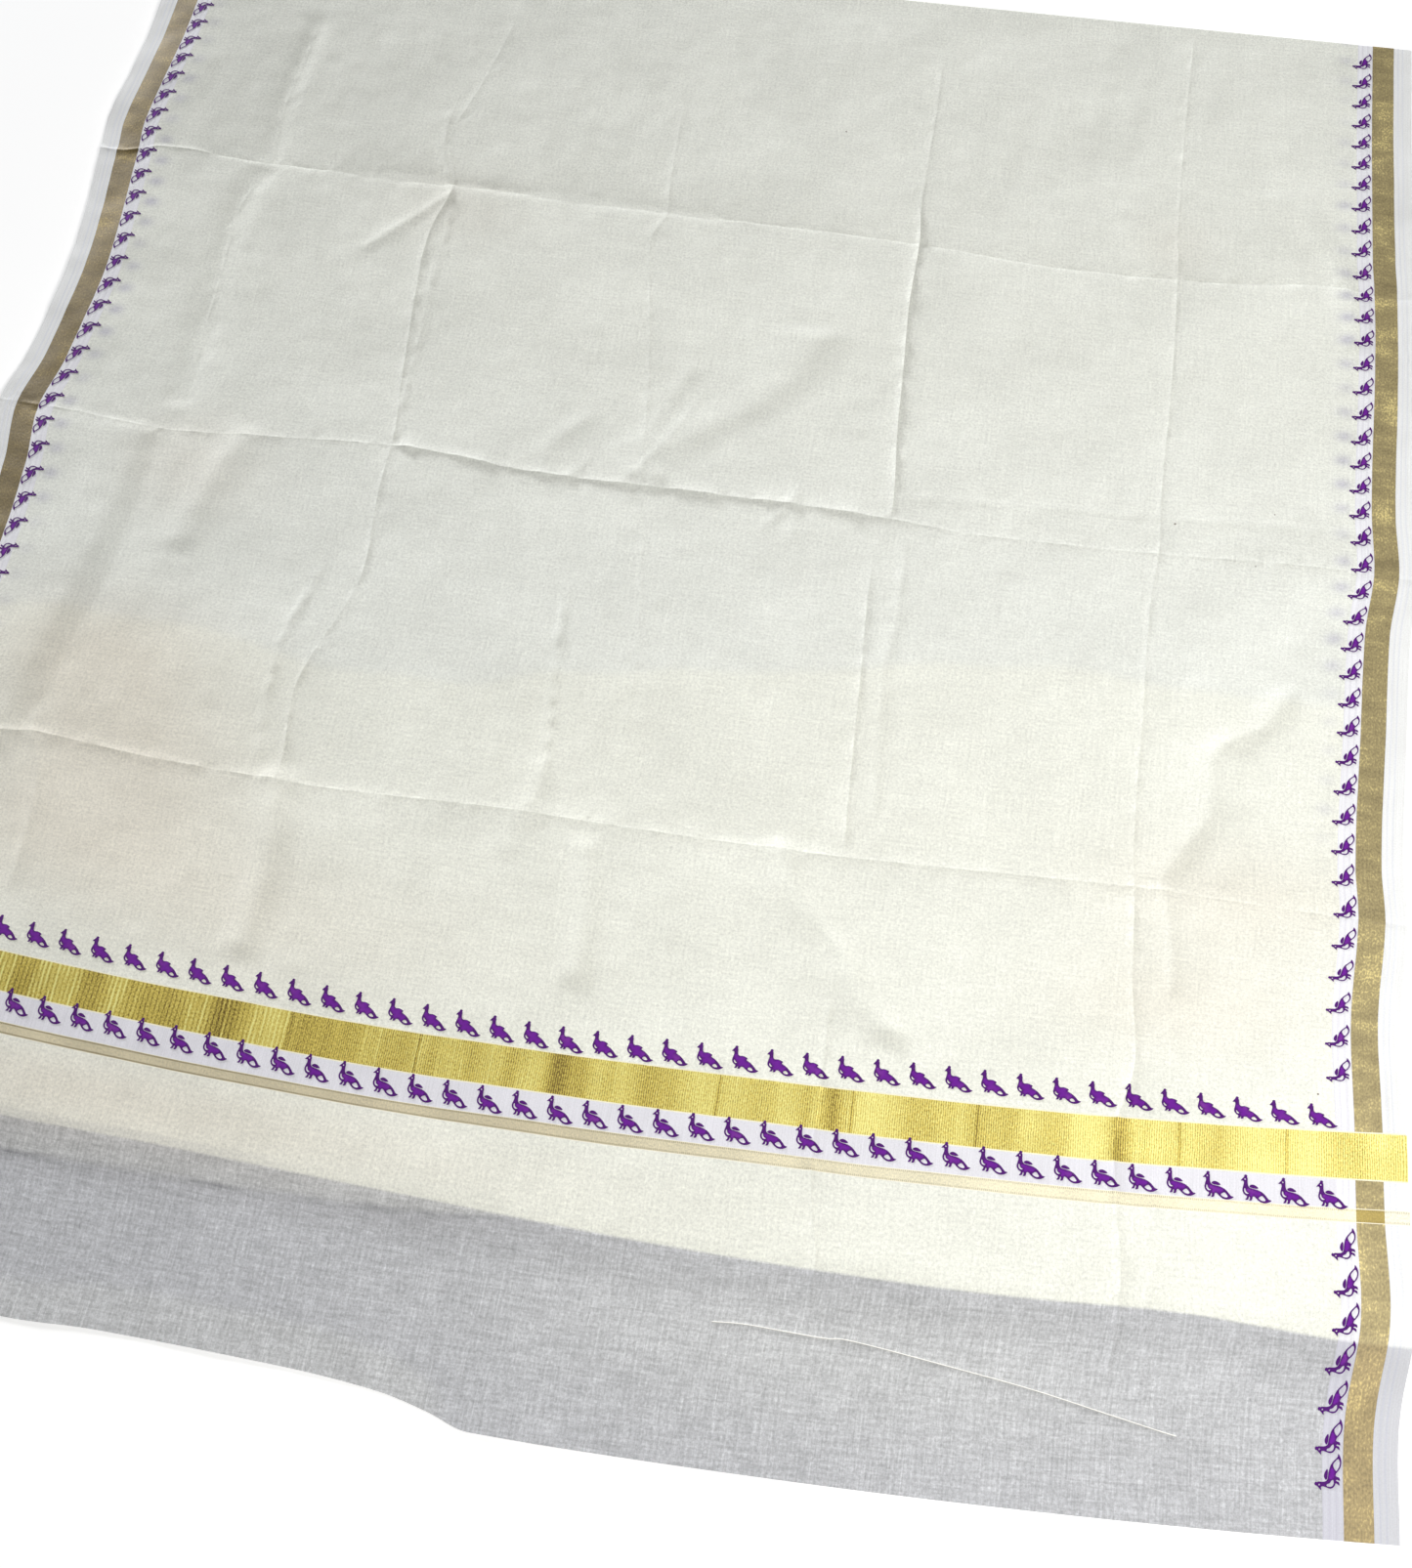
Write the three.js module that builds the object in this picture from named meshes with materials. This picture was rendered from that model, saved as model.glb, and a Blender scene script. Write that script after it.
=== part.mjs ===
import * as THREE from "three";

// A cotton saree laid out flat, its pallu end towards -Y, over its own folded layers.
// Millimetres. X runs across the cloth, Y along it from the cut end to the far fold, Z is up.

// The cloth across its width, from one selvedge to the other.
const clothWidth = 1150;
const selvedgeWidth = 16;
const goldStripeWidth = 18.5;
const printStripWidth = 13;
const fieldStart = selvedgeWidth + goldStripeWidth + printStripWidth;
const fieldEnd = clothWidth - fieldStart;

// Places along the cloth, measured from the cut end.
const farFold = 1287;
const goldBandTop = 240;
const goldBandBottom = 207;
const printBandBottom = 187.5;
const narrowBandBottom = 179;
const foldCreases = [416, 716, 1004];

// The cloth wall and the gap that neighbouring pieces keep.
const wall = 1;
const seam = 0.3;
const fieldColumns = 24;

// The folded layers beneath.
const layerCount = 4;
const layerHeight = 0.8;
const layerStep = 1.5;
const layerCornerRadius = 14;
const layerGroove = 1.2;
const pileHeight = layerCount * layerHeight;
const clothRest = pileHeight + seam;
const pileSideInset = 3;
const pileNearInset = 2;
const pileFarInset = 0.8;
const pileRingPoints = 56;
const slopeFootReach = 12;
const slopeHeadReach = 8;
const slopeEdgeBack = 2;

// Where the pile's near edge lies along the cloth, for places across it.
const pileNearEdges = [
  { at: 0, edge: 128 },
  { at: 194, edge: 128.2 },
  { at: 335, edge: 129.7 },
  { at: 473, edge: 127.4 },
  { at: 675, edge: 122.3 },
  { at: 870, edge: 117.8 },
  { at: 996, edge: 118 },
  { at: 1059, edge: 113 },
  { at: 1112, edge: 108.2 },
  { at: 1150, edge: 107 },
];

// The far end turns down round the pile.
const turnDownRadius = 3;
const turnDownSteps = 3;

// The near left stretch of the cut end is turned under.
const turnedLength = 480;
const turnedFade = 60;
const turnedLift = wall + seam;
const turnedDepth = 4;
const turnedClear = 1;
const turnedFoot = 9;
const turnedSteps = 10;

// How far each weft line bows along Y, at the left selvedge, the middle and the right selvedge.
const weftBows = [
  { at: 0, left: 3, middle: -20, right: 4 },
  { at: 180, left: 34, middle: 0, right: 26 },
  { at: 238, left: 33, middle: 0, right: 25 },
  { at: 416, left: 15, middle: 0, right: 5 },
  { at: 716, left: 12, middle: 1, right: 0 },
  { at: 1004, left: 10, middle: 2, right: -6 },
  { at: 1290, left: 8, middle: 3, right: -2 },
];

// How far each selvedge stands to +X of its straight line: it juts out at the fold creases.
const selvedgeShifts = [
  { at: 0, left: 0, right: -7 },
  { at: 60, left: 3, right: -8 },
  { at: 123, left: -3, right: 1 },
  { at: 180, left: 2, right: -3 },
  { at: 238, left: 3, right: -5 },
  { at: 330, left: 5, right: -9 },
  { at: 416, left: -5, right: -4 },
  { at: 460, left: 0, right: -7 },
  { at: 560, left: 6, right: -5 },
  { at: 660, left: 2, right: -2 },
  { at: 716, left: -6, right: 5 },
  { at: 770, left: 2, right: 2 },
  { at: 870, left: 7, right: 3 },
  { at: 1004, left: -5, right: 3 },
  { at: 1040, left: -9, right: 1 },
  { at: 1150, left: -2, right: -1 },
  { at: 1290, left: -5, right: -1 },
];

// The turned-under edge: how far along the cloth its fold lies.
const turnedFolds = [
  { at: 0, fold: 12 },
  { at: 240, fold: 15 },
  { at: 300, fold: 18.5 },
  { at: 430, fold: 18.5 },
  { at: 495, fold: 14.5 },
  { at: 530, fold: 8 },
  { at: 560, fold: 0.5 },
  { at: 1150, fold: 0 },
];

// Main creases and soft folds: both ends as [across, along], the rise of the cloth and its reach.
const creases = [
  { from: [40, 416], to: [1130, 416], rise: -1.1, reach: 16 },
  { from: [0, 716], to: [1150, 716], rise: -1.1, reach: 16 },
  { from: [0, 1004], to: [1150, 1004], rise: -1.1, reach: 16 },
  { from: [135, 430], to: [145, 700], rise: -0.9, reach: 30 },
  { from: [145, 760], to: [145, 960], rise: 1.0, reach: 22 },
  { from: [312, 1200], to: [318, 780], rise: -0.7, reach: 20 },
  { from: [330, 410], to: [325, 280], rise: 1.3, reach: 24 },
  { from: [505, 1130], to: [560, 500], rise: -0.6, reach: 22 },
  { from: [553, 405], to: [565, 350], rise: 1.0, reach: 22 },
  { from: [732, 1200], to: [742, 440], rise: -0.8, reach: 18 },
  { from: [953, 1280], to: [953, 430], rise: -0.6, reach: 20 },
  { from: [953, 410], to: [958, 90], rise: 0.8, reach: 20 },
  { from: [1055, 600], to: [975, 430], rise: 1.2, reach: 24 },
  { from: [700, 412], to: [792, 286], rise: 1.3, reach: 24 },
  { from: [667, 890], to: [545, 730], rise: 0.9, reach: 24 },
];
const puffHeight = 1.2;
const puffPower = 4;
const flapPuff = 0.25;
const edgeCalm = 30;
const edgeRiseShare = 0.35;

function smoothStep(low, high, value) {
  return THREE.MathUtils.smoothstep(value, low, high);
}

// A smooth curve through one column of a table, read at any place.
function readTable(table, column, place) {
  const last = table.length - 1;
  const at = THREE.MathUtils.clamp(place, table[0].at, table[last].at);
  let row = 0;
  while (row < last - 1 && at > table[row + 1].at) {
    row += 1;
  }
  const slopeAt = (index) => {
    const before = table[Math.max(index - 1, 0)];
    const after = table[Math.min(index + 1, last)];
    return (after[column] - before[column]) / (after.at - before.at);
  };
  const low = table[row];
  const high = table[row + 1];
  const span = high.at - low.at;
  const t = (at - low.at) / span;
  const keepLow = (1 + 2 * t) * (1 - t) * (1 - t);
  const keepHigh = t * t * (3 - 2 * t);
  const leaveLow = t * (1 - t) * (1 - t) * span;
  const leaveHigh = t * t * (t - 1) * span;
  return (
    low[column] * keepLow +
    high[column] * keepHigh +
    slopeAt(row) * leaveLow +
    slopeAt(row + 1) * leaveHigh
  );
}

function pileNearEdge(across) {
  return readTable(pileNearEdges, "edge", across);
}

function cutEnd(across) {
  return Math.max(readTable(turnedFolds, "fold", across), 0);
}

function turnedInner(across) {
  return 2 * cutEnd(across) + turnedDepth;
}

// Where a place on the cloth lies in plan.
function planPoint(across, along) {
  const share = across / clothWidth;
  const left = readTable(selvedgeShifts, "left", along);
  const right = readTable(selvedgeShifts, "right", along);
  const bowLeft = readTable(weftBows, "left", along);
  const bowMiddle = readTable(weftBows, "middle", along);
  const bowRight = readTable(weftBows, "right", along);
  const offset = 2 * share - 1;
  const bow =
    bowMiddle +
    ((bowRight - bowLeft) / 2) * offset +
    ((bowRight + bowLeft) / 2 - bowMiddle) * offset * offset;
  return new THREE.Vector2(across + left * (1 - share) + right * share, along + bow);
}

function distanceToCrease(across, along, crease) {
  const start = new THREE.Vector2(...crease.from);
  const line = new THREE.Vector2(...crease.to).sub(start);
  const place = new THREE.Vector2(across, along).sub(start);
  const t = THREE.MathUtils.clamp(place.dot(line) / line.lengthSq(), 0, 1);
  return place.sub(line.multiplyScalar(t)).length();
}

// The share of the pile's height that the cloth has risen to: 0 on the flap, 1 on the pile.
function onPile(across, along) {
  const edge = pileNearEdge(across);
  const climb = (along - edge + slopeFootReach) / (slopeFootReach + slopeHeadReach);
  return THREE.MathUtils.clamp(climb, 0, 1);
}

// How far the folds lift the cloth above where it would lie flat.
function foldRise(across, along) {
  const stops = [pileNearEdge(across), ...foldCreases, farFold];
  let puff = 0;
  for (let i = 0; i + 1 < stops.length; i += 1) {
    const t = (along - stops[i]) / (stops[i + 1] - stops[i]);
    if (t > 0 && t < 1) {
      puff = puffHeight * (1 - Math.pow(Math.abs(2 * t - 1), puffPower));
    }
  }
  puff = Math.max(puff, flapPuff);
  for (const crease of creases) {
    const distance = distanceToCrease(across, along, crease) / crease.reach;
    puff += crease.rise * Math.exp(-distance * distance);
  }
  const beforeTurn = 1 - smoothStep(farFold - edgeCalm, farFold - 1, along);
  const inwards = Math.min(across, clothWidth - across);
  const fromSelvedge = edgeRiseShare + (1 - edgeRiseShare) * smoothStep(0, edgeCalm, inwards);
  return Math.max(puff, 0) * beforeTurn * fromSelvedge;
}

// A point of the cloth, lifted by part of its wall, with the far end turned down round the pile.
function clothPoint(across, along, lift) {
  const flat = Math.min(along, farFold);
  const plan = planPoint(across, flat);
  const share = onPile(across, flat);
  const rise = foldRise(across, flat);
  const inner = turnedInner(across);
  const turned = 1 - smoothStep(inner + turnedClear, inner + turnedFoot, flat);
  const turnedEnd = 1 - smoothStep(turnedLength, turnedLength + turnedFade, across);
  const floor = clothRest * share + turnedLift * turned * turnedEnd * (1 - share);
  const underRise = rise * share;
  const z = floor + underRise + (lift / wall) * (rise - underRise);
  const angle = Math.max(along - farFold, 0) / turnDownRadius;
  return new THREE.Vector3(
    plan.x,
    plan.y + (turnDownRadius + lift) * Math.sin(angle),
    z - turnDownRadius * (1 - Math.cos(angle)) + lift * Math.cos(angle),
  );
}

function clothMaterial(colour, metalness, roughness) {
  return new THREE.MeshStandardMaterial({ color: colour, metalness, roughness });
}

function meshFrom(name, positions, indices, material) {
  const geometry = new THREE.BufferGeometry();
  geometry.setAttribute("position", new THREE.Float32BufferAttribute(positions, 3));
  geometry.setIndex(indices);
  geometry.computeVertexNormals();
  const mesh = new THREE.Mesh(geometry, material);
  mesh.name = name;
  return mesh;
}

// A closed wall over a grid of places, from its underside up to its top.
function wallMesh(name, columns, rows, pointAt, material) {
  const positions = [];
  for (const lift of [0, wall]) {
    for (const row of rows) {
      for (const across of columns) {
        positions.push(...pointAt(across, row(across), lift).toArray());
      }
    }
  }
  const wide = columns.length;
  const long = rows.length;
  const top = wide * long;
  const indices = [];
  const quad = (a, b, c, d) => indices.push(a, b, c, a, c, d);
  for (let j = 0; j + 1 < long; j += 1) {
    for (let i = 0; i + 1 < wide; i += 1) {
      const a = j * wide + i;
      quad(top + a, top + a + 1, top + a + 1 + wide, top + a + wide);
      quad(a, a + wide, a + 1 + wide, a + 1);
    }
  }
  for (let i = 0; i + 1 < wide; i += 1) {
    const far = (long - 1) * wide + i;
    quad(i, i + 1, top + i + 1, top + i);
    quad(far + 1, far, top + far, top + far + 1);
  }
  for (let j = 0; j + 1 < long; j += 1) {
    const left = j * wide;
    const right = left + wide - 1;
    quad(left + wide, left, top + left, top + left + wide);
    quad(right, right + wide, top + right + wide, top + right);
  }
  return meshFrom(name, positions, indices, material);
}

const cottonCream = clothMaterial(0xe8e6dc, 0, 0.9);
const cottonWhite = clothMaterial(0xe9eaf2, 0, 0.9);
const cottonGrey = clothMaterial(0xbfc0c6, 0, 0.9);
const printWhite = clothMaterial(0xe2def0, 0, 0.9);
const zariStripe = clothMaterial(0x968760, 0.5, 0.5);
const zariBand = clothMaterial(0xd7c36e, 0.5, 0.45);
const narrowBeige = clothMaterial(0xcfc8ae, 0.2, 0.7);
const hiddenCream = clothMaterial(0xdcdad0, 0, 0.95);

// Lines across the cloth, shared by all its zones so that their edges run side by side.
// Each line gives a place along the cloth for a place across it.
const lines = [];

function addLine(name, line) {
  lines.push({ name, line });
}

// Lines up to and including the named one, in even steps from the last line there is.
function addLinesTo(name, line, steps) {
  const before = lines[lines.length - 1].line;
  for (let i = 1; i <= steps; i += 1) {
    const t = i / steps;
    addLine(i === steps ? name : "", (across) => before(across) * (1 - t) + line(across) * t);
  }
}

addLine("cut end", cutEnd);
addLinesTo("turned clear", (across) => turnedInner(across) + turnedClear, 1);
addLinesTo("turned down", (across) => turnedInner(across) + turnedFoot, 1);
addLinesTo("slope foot", (across) => pileNearEdge(across) - slopeFootReach, 3);
addLinesTo("pile edge", (across) => pileNearEdge(across) - slopeEdgeBack, 2);
addLinesTo("slope head", (across) => pileNearEdge(across) + slopeHeadReach, 2);
addLinesTo("narrow band bottom", () => narrowBandBottom, 2);
addLinesTo("print band bottom", () => printBandBottom, 1);
addLinesTo("gold band bottom", () => goldBandBottom, 1);
addLinesTo("gold band top", () => goldBandTop, 1);
addLinesTo("first fold", () => foldCreases[0], 6);
addLinesTo("second fold", () => foldCreases[1], 9);
addLinesTo("third fold", () => foldCreases[2], 9);
addLinesTo("far fold", () => farFold, 8);
addLinesTo("turned end", () => farFold + (turnDownRadius * Math.PI) / 2, turnDownSteps);

// Places across the cloth, shared in the same way.
const goldInner = selvedgeWidth + goldStripeWidth;
const columns = [0, selvedgeWidth, goldInner];
for (let i = 0; i <= fieldColumns; i += 1) {
  columns.push(fieldStart + ((fieldEnd - fieldStart) * i) / fieldColumns);
}
columns.push(clothWidth - goldInner, clothWidth - selvedgeWidth, clothWidth);

const saree = new THREE.Group();

// One zone of the cloth, half a seam inside its own outline.
function addZone(name, from, to, start, end, material) {
  const places = columns.filter((place) => place >= from - seam && place <= to + seam);
  places[0] += seam / 2;
  places[places.length - 1] -= seam / 2;
  const first = lines.findIndex((line) => line.name === start);
  const last = lines.findIndex((line) => line.name === end);
  const rows = lines.slice(first, last + 1).map(({ line }, index) => {
    const inset = index === 0 ? seam / 2 : index === last - first ? -seam / 2 : 0;
    return (across) => line(across) + inset;
  });
  saree.add(wallMesh(name, places, rows, clothPoint, material));
}

// The field, one piece for each stretch between folds, and the pallu's end.
const folds = ["gold band top", "first fold", "second fold", "third fold", "turned end"];
for (let i = 0; i + 1 < folds.length; i += 1) {
  const name = "field_stretch_" + (i + 1);
  addZone(name, fieldStart, fieldEnd, folds[i], folds[i + 1], cottonCream);
}
addZone("pallu_end", fieldStart, fieldEnd, "pile edge", "narrow band bottom", cottonCream);
addZone("end_flap", fieldStart, fieldEnd, "cut end", "pile edge", cottonGrey);

// The bands woven and printed across the pallu.
addZone("pallu_gold_band", 0, clothWidth, "gold band bottom", "gold band top", zariBand);
addZone("pallu_narrow_band", 0, clothWidth, "narrow band bottom", "print band bottom", narrowBeige);
const printEnd = clothWidth - goldInner;
addZone("pallu_print_band", goldInner, printEnd, "print band bottom", "gold band bottom", printWhite);

// The lengthwise strips down both sides, above, between and below the pallu's woven bands.
const sideStrips = [
  { name: "selvedge", inner: selvedgeWidth, outer: 0, material: cottonWhite },
  { name: "gold_border", inner: goldInner, outer: selvedgeWidth, material: zariStripe },
  { name: "print_strip", inner: fieldStart, outer: goldInner, material: printWhite },
];
const stretches = [
  { name: "", start: "gold band top", end: "turned end" },
  { name: "_middle", start: "print band bottom", end: "gold band bottom" },
  { name: "_end", start: "cut end", end: "narrow band bottom" },
];
for (const strip of sideStrips) {
  for (const stretch of stretches) {
    const inPrintBand = strip.name === "print_strip" && stretch.name === "_middle";
    if (!inPrintBand) {
      const name = strip.name + stretch.name;
      const { start, end } = stretch;
      const left = clothWidth - strip.inner;
      const right = clothWidth - strip.outer;
      addZone(name + "_left", strip.outer, strip.inner, start, end, strip.material);
      addZone(name + "_right", left, right, start, end, strip.material);
    }
  }
}

// The strip of the cut end that is turned under at the near left.
const turnedColumns = [];
for (let i = 0; i <= turnedSteps; i += 1) {
  turnedColumns.push(seam + ((turnedLength - seam) * i) / turnedSteps);
}
const turnedRows = [
  (across) => cutEnd(across) + 2 * seam,
  (across) => turnedInner(across) - turnedClear,
];
const turnedPoint = (across, along, lift) => {
  const plan = planPoint(across, along);
  return new THREE.Vector3(plan.x, plan.y, lift);
};
saree.add(wallMesh("turned_edge", turnedColumns, turnedRows, turnedPoint, cottonGrey));

// The folded layers: rings round a soft-cornered outline, bulging at each layer.
function foldedLayers() {
  const length = farFold - pileNearEdge(0);
  const width = clothWidth - 2 * pileSideInset;
  const ringAt = (inset, z) => {
    const outline = new THREE.Path();
    const low = inset;
    const right = width - inset;
    const high = length - inset;
    const r = layerCornerRadius;
    outline.moveTo(low + r, low);
    outline.lineTo(right - r, low);
    outline.absarc(right - r, low + r, r, -Math.PI / 2, 0, false);
    outline.lineTo(right, high - r);
    outline.absarc(right - r, high - r, r, 0, Math.PI / 2, false);
    outline.lineTo(low + r, high);
    outline.absarc(low + r, high - r, r, Math.PI / 2, Math.PI, false);
    outline.lineTo(low, low + r);
    outline.absarc(low + r, low + r, r, Math.PI, Math.PI * 1.5, false);
    return outline.getSpacedPoints(pileRingPoints).slice(0, pileRingPoints).map((spot) => {
      const across = pileSideInset + spot.x;
      const near = pileNearEdge(across) + pileNearInset;
      const along = near + (spot.y / length) * (farFold - pileFarInset - near);
      const plan = planPoint(across, along);
      return new THREE.Vector3(plan.x, plan.y, z);
    });
  };
  const rings = [ringAt(layerGroove, 0)];
  for (let layer = 0; layer < layerCount; layer += 1) {
    const inset = layer * layerStep;
    rings.push(ringAt(inset, (layer + 0.5) * layerHeight));
    rings.push(ringAt(inset + layerGroove, (layer + 1) * layerHeight));
  }
  const positions = rings.flat().flatMap((point) => point.toArray());
  const indices = [];
  for (let ring = 0; ring + 1 < rings.length; ring += 1) {
    for (let i = 0; i < pileRingPoints; i += 1) {
      const a = ring * pileRingPoints + i;
      const b = ring * pileRingPoints + ((i + 1) % pileRingPoints);
      indices.push(a, b, b + pileRingPoints, a, b + pileRingPoints, a + pileRingPoints);
    }
  }
  const caps = [rings[0], rings[rings.length - 1]];
  caps.forEach((ring, side) => {
    const centre = positions.length / 3;
    const middle = planPoint(clothWidth / 2, farFold / 2);
    positions.push(middle.x, middle.y, ring[0].z);
    const first = side * (rings.length - 1) * pileRingPoints;
    for (let i = 0; i < pileRingPoints; i += 1) {
      const a = first + i;
      const b = first + ((i + 1) % pileRingPoints);
      indices.push(centre, side === 0 ? b : a, side === 0 ? a : b);
    }
  });
  return meshFrom("folded_layers", positions, indices, hiddenCream);
}
saree.add(foldedLayers());

// The origin is under the middle of the whole outline.
const outline = new THREE.Box3().setFromObject(saree);
const middle = outline.getCenter(new THREE.Vector3());
saree.position.set(-middle.x, -middle.y, 0);

export default saree;
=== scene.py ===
import math
import bmesh
import bpy
import numpy as np
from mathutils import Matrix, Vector


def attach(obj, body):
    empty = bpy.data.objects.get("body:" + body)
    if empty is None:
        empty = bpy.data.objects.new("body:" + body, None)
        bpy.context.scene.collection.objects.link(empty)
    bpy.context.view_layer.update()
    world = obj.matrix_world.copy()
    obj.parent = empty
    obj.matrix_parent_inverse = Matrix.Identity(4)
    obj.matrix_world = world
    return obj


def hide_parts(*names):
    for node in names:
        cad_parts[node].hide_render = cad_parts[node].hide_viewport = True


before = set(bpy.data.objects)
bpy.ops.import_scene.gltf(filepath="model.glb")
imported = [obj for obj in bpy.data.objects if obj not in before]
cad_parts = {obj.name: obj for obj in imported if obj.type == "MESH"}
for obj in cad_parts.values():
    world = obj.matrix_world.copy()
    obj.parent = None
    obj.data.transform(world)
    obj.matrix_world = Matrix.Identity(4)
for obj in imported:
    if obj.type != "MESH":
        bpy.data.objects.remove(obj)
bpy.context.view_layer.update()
scene = bpy.context.scene

# Metres. Across is measured from the left selvedge, along from the cut end towards the far fold.
# Plan places are the same two ways as seen from above, once the cloth's bows and scallops show.

cameraView = {
    "place": (0.1969, -0.8159, 1.3053),
    "turn": (26.553, 1.465, 9.089),  # degrees about X, Y and Z
    "lens": 44.86,  # millimetres
    "sensor": 36.0,
}


def placeCamera(look):
    turn = [math.radians(angle) for angle in look["turn"]]
    bpy.ops.object.camera_add(location=look["place"], rotation=turn)
    camera = bpy.context.object
    camera.name = "photo_camera"
    camera.data.lens = look["lens"]
    camera.data.sensor_width = look["sensor"]
    camera.data.clip_start = 0.01
    scene.camera = camera


placeCamera(cameraView)
print("camera placed")

# The cut of the cloth and how it lies
cloth = {
    "width": 1.15,
    "goldStart": 0.0158,
    "stripStart": 0.0345,
    "fieldStart": 0.0475,
    "farFold": 1.287,
    "turnRadius": 0.003,
    "thickness": 0.00035,
    "pileRest": 0.0049,  # height of the cloth's face where it lies on the pile
    "lowestOnPile": 0.0037,
    "flapRest": 0.0008,
    "lowestOnFloor": 0.00045,
    "slopeFoot": 0.031,
    "slopeHead": 0.008,
    "puff": 0.0013,
    "originAcross": 0.572995,  # the origin is under the middle of the whole outline
    "originAlong": 0.63968,
}

# How far each weft line bows along the cloth
weftBows = {
    "at": (0.0, 0.18, 0.238, 0.416, 0.716, 1.004, 1.29),
    "left": (0.003, 0.034, 0.033, 0.015, 0.012, 0.010, 0.008),
    "middle": (-0.020, 0.0, 0.0, 0.0, 0.001, 0.002, 0.003),
    "right": (0.004, 0.026, 0.025, 0.005, 0.0, -0.006, -0.002),
}

# How far each selvedge stands to the right of its straight line
selvedgeShifts = {
    "at": (0.0, 0.06, 0.123, 0.18, 0.238, 0.33, 0.416, 0.46, 0.56, 0.66,
           0.716, 0.77, 0.87, 1.004, 1.04, 1.15, 1.29),
    "left": (0.0, 0.003, -0.003, 0.002, 0.003, 0.005, -0.005, 0.0, 0.006, 0.002,
             -0.006, 0.002, 0.007, -0.005, -0.009, -0.002, -0.005),
    "right": (-0.007, -0.008, 0.001, -0.003, -0.005, -0.009, -0.004, -0.007, -0.005, -0.002,
              0.005, 0.002, 0.003, 0.003, 0.001, -0.001, -0.001),
}

# Where the near edge of the folded layers lies along the cloth
pileNearEdges = {
    "at": (0.0, 0.194, 0.26, 0.335, 0.473, 0.675, 0.87, 0.996, 1.059, 1.112, 1.15),
    "edge": (0.125, 0.1272, 0.1290, 0.1300, 0.1282, 0.1223, 0.1178, 0.118, 0.113, 0.1082, 0.107),
}

# Where the woven bands and the rows of prints lie along the cloth
bandPlaces = {
    "at": (0.0, 0.2, 0.45, 0.58, 0.75, 0.95, 1.10, 1.15),
    "narrowBottom": (0.1755, 0.1762, 0.1772, 0.1784, 0.1800, 0.1790, 0.1790, 0.1790),
    "narrowTop": (0.1838, 0.1842, 0.1850, 0.1872, 0.1885, 0.1880, 0.1878, 0.1880),
    "bandBottom": (0.2040, 0.2043, 0.2050, 0.2070, 0.2080, 0.2075, 0.2070, 0.2070),
    "bandTop": (0.2350, 0.2354, 0.2360, 0.2386, 0.2402, 0.2408, 0.2420, 0.2430),
}
rowPlaces = {
    "at": (0.0, 0.17, 0.32, 0.45, 0.55, 0.65, 0.77, 0.85, 0.95, 1.05, 1.10),
    "upper": (0.2516, 0.2511, 0.2487, 0.2469, 0.2466, 0.2486, 0.2528, 0.2545, 0.2539, 0.2517, 0.2507),
    "lower": (0.1980, 0.1975, 0.1966, 0.1946, 0.1948, 0.1970, 0.1996, 0.1990, 0.1970, 0.1945, 0.1941),
    # how far to the right of its even place a print stands
    "upperAside": (0.0038, 0.0038, 0.0040, 0.0041, 0.0031, 0.0022, 0.0012, 0.0007, 0.0, -0.0012, -0.0008),
    "lowerAside": (0.0027, 0.0027, 0.0025, 0.0021, 0.0015, 0.0, -0.0014, -0.0015, -0.0012, -0.0010,
                   -0.0008),
}

# The near left stretch of the cut end is turned under: how far along its fold lies
turnedFolds = {
    "at": (0.0, 0.24, 0.30, 0.43, 0.495, 0.53, 0.56, 1.15),
    "fold": (0.012, 0.015, 0.0185, 0.0185, 0.0145, 0.008, 0.0005, 0.0),
}


def readTable(table, column, place):
    at = np.array(table["at"])
    value = np.array(table[column])
    slope = np.gradient(value)
    slope[1:-1] = (value[2:] - value[:-2]) / (at[2:] - at[:-2])
    slope[0] = (value[1] - value[0]) / (at[1] - at[0])
    slope[-1] = (value[-1] - value[-2]) / (at[-1] - at[-2])
    spot = np.clip(place, at[0], at[-1])
    row = np.clip(np.searchsorted(at, spot) - 1, 0, len(at) - 2)
    span = at[row + 1] - at[row]
    t = (spot - at[row]) / span
    keep = (1 + 2 * t) * (1 - t) ** 2 * value[row] + t * t * (3 - 2 * t) * value[row + 1]
    lean = t * (1 - t) ** 2 * slope[row] + t * t * (t - 1) * slope[row + 1]
    return keep + lean * span


def smooth(value):
    t = np.clip(value, 0.0, 1.0)
    return t * t * (3 - 2 * t)


def ripple(across, along, seed, length):
    # Even waves of mixed lengths and directions, about 1 high
    draw = np.random.default_rng(seed)
    waves = 14
    total = 0.0
    for _ in range(waves):
        angle = draw.uniform(0, math.pi)
        turns = 2 * math.pi / (length * draw.uniform(0.6, 1.8))
        start = draw.uniform(0, 2 * math.pi)
        total = total + np.sin((across * math.cos(angle) + along * math.sin(angle)) * turns + start)
    return total / math.sqrt(waves)


def planPoint(across, along):
    share = across / cloth["width"]
    left = readTable(selvedgeShifts, "left", along)
    right = readTable(selvedgeShifts, "right", along)
    bowLeft = readTable(weftBows, "left", along)
    bowMiddle = readTable(weftBows, "middle", along)
    bowRight = readTable(weftBows, "right", along)
    offset = 2 * share - 1
    bow = (bowMiddle + (bowRight - bowLeft) / 2 * offset
           + ((bowRight + bowLeft) / 2 - bowMiddle) * offset ** 2)
    return across + left * (1 - share) + right * share, along + bow


def placeOnCloth(x, y):
    across = np.array(x, float)
    along = np.array(y, float)
    for _ in range(8):
        planX, planY = planPoint(across, along)
        across = across + x - planX
        along = along + y - planY
    return across, along


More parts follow.
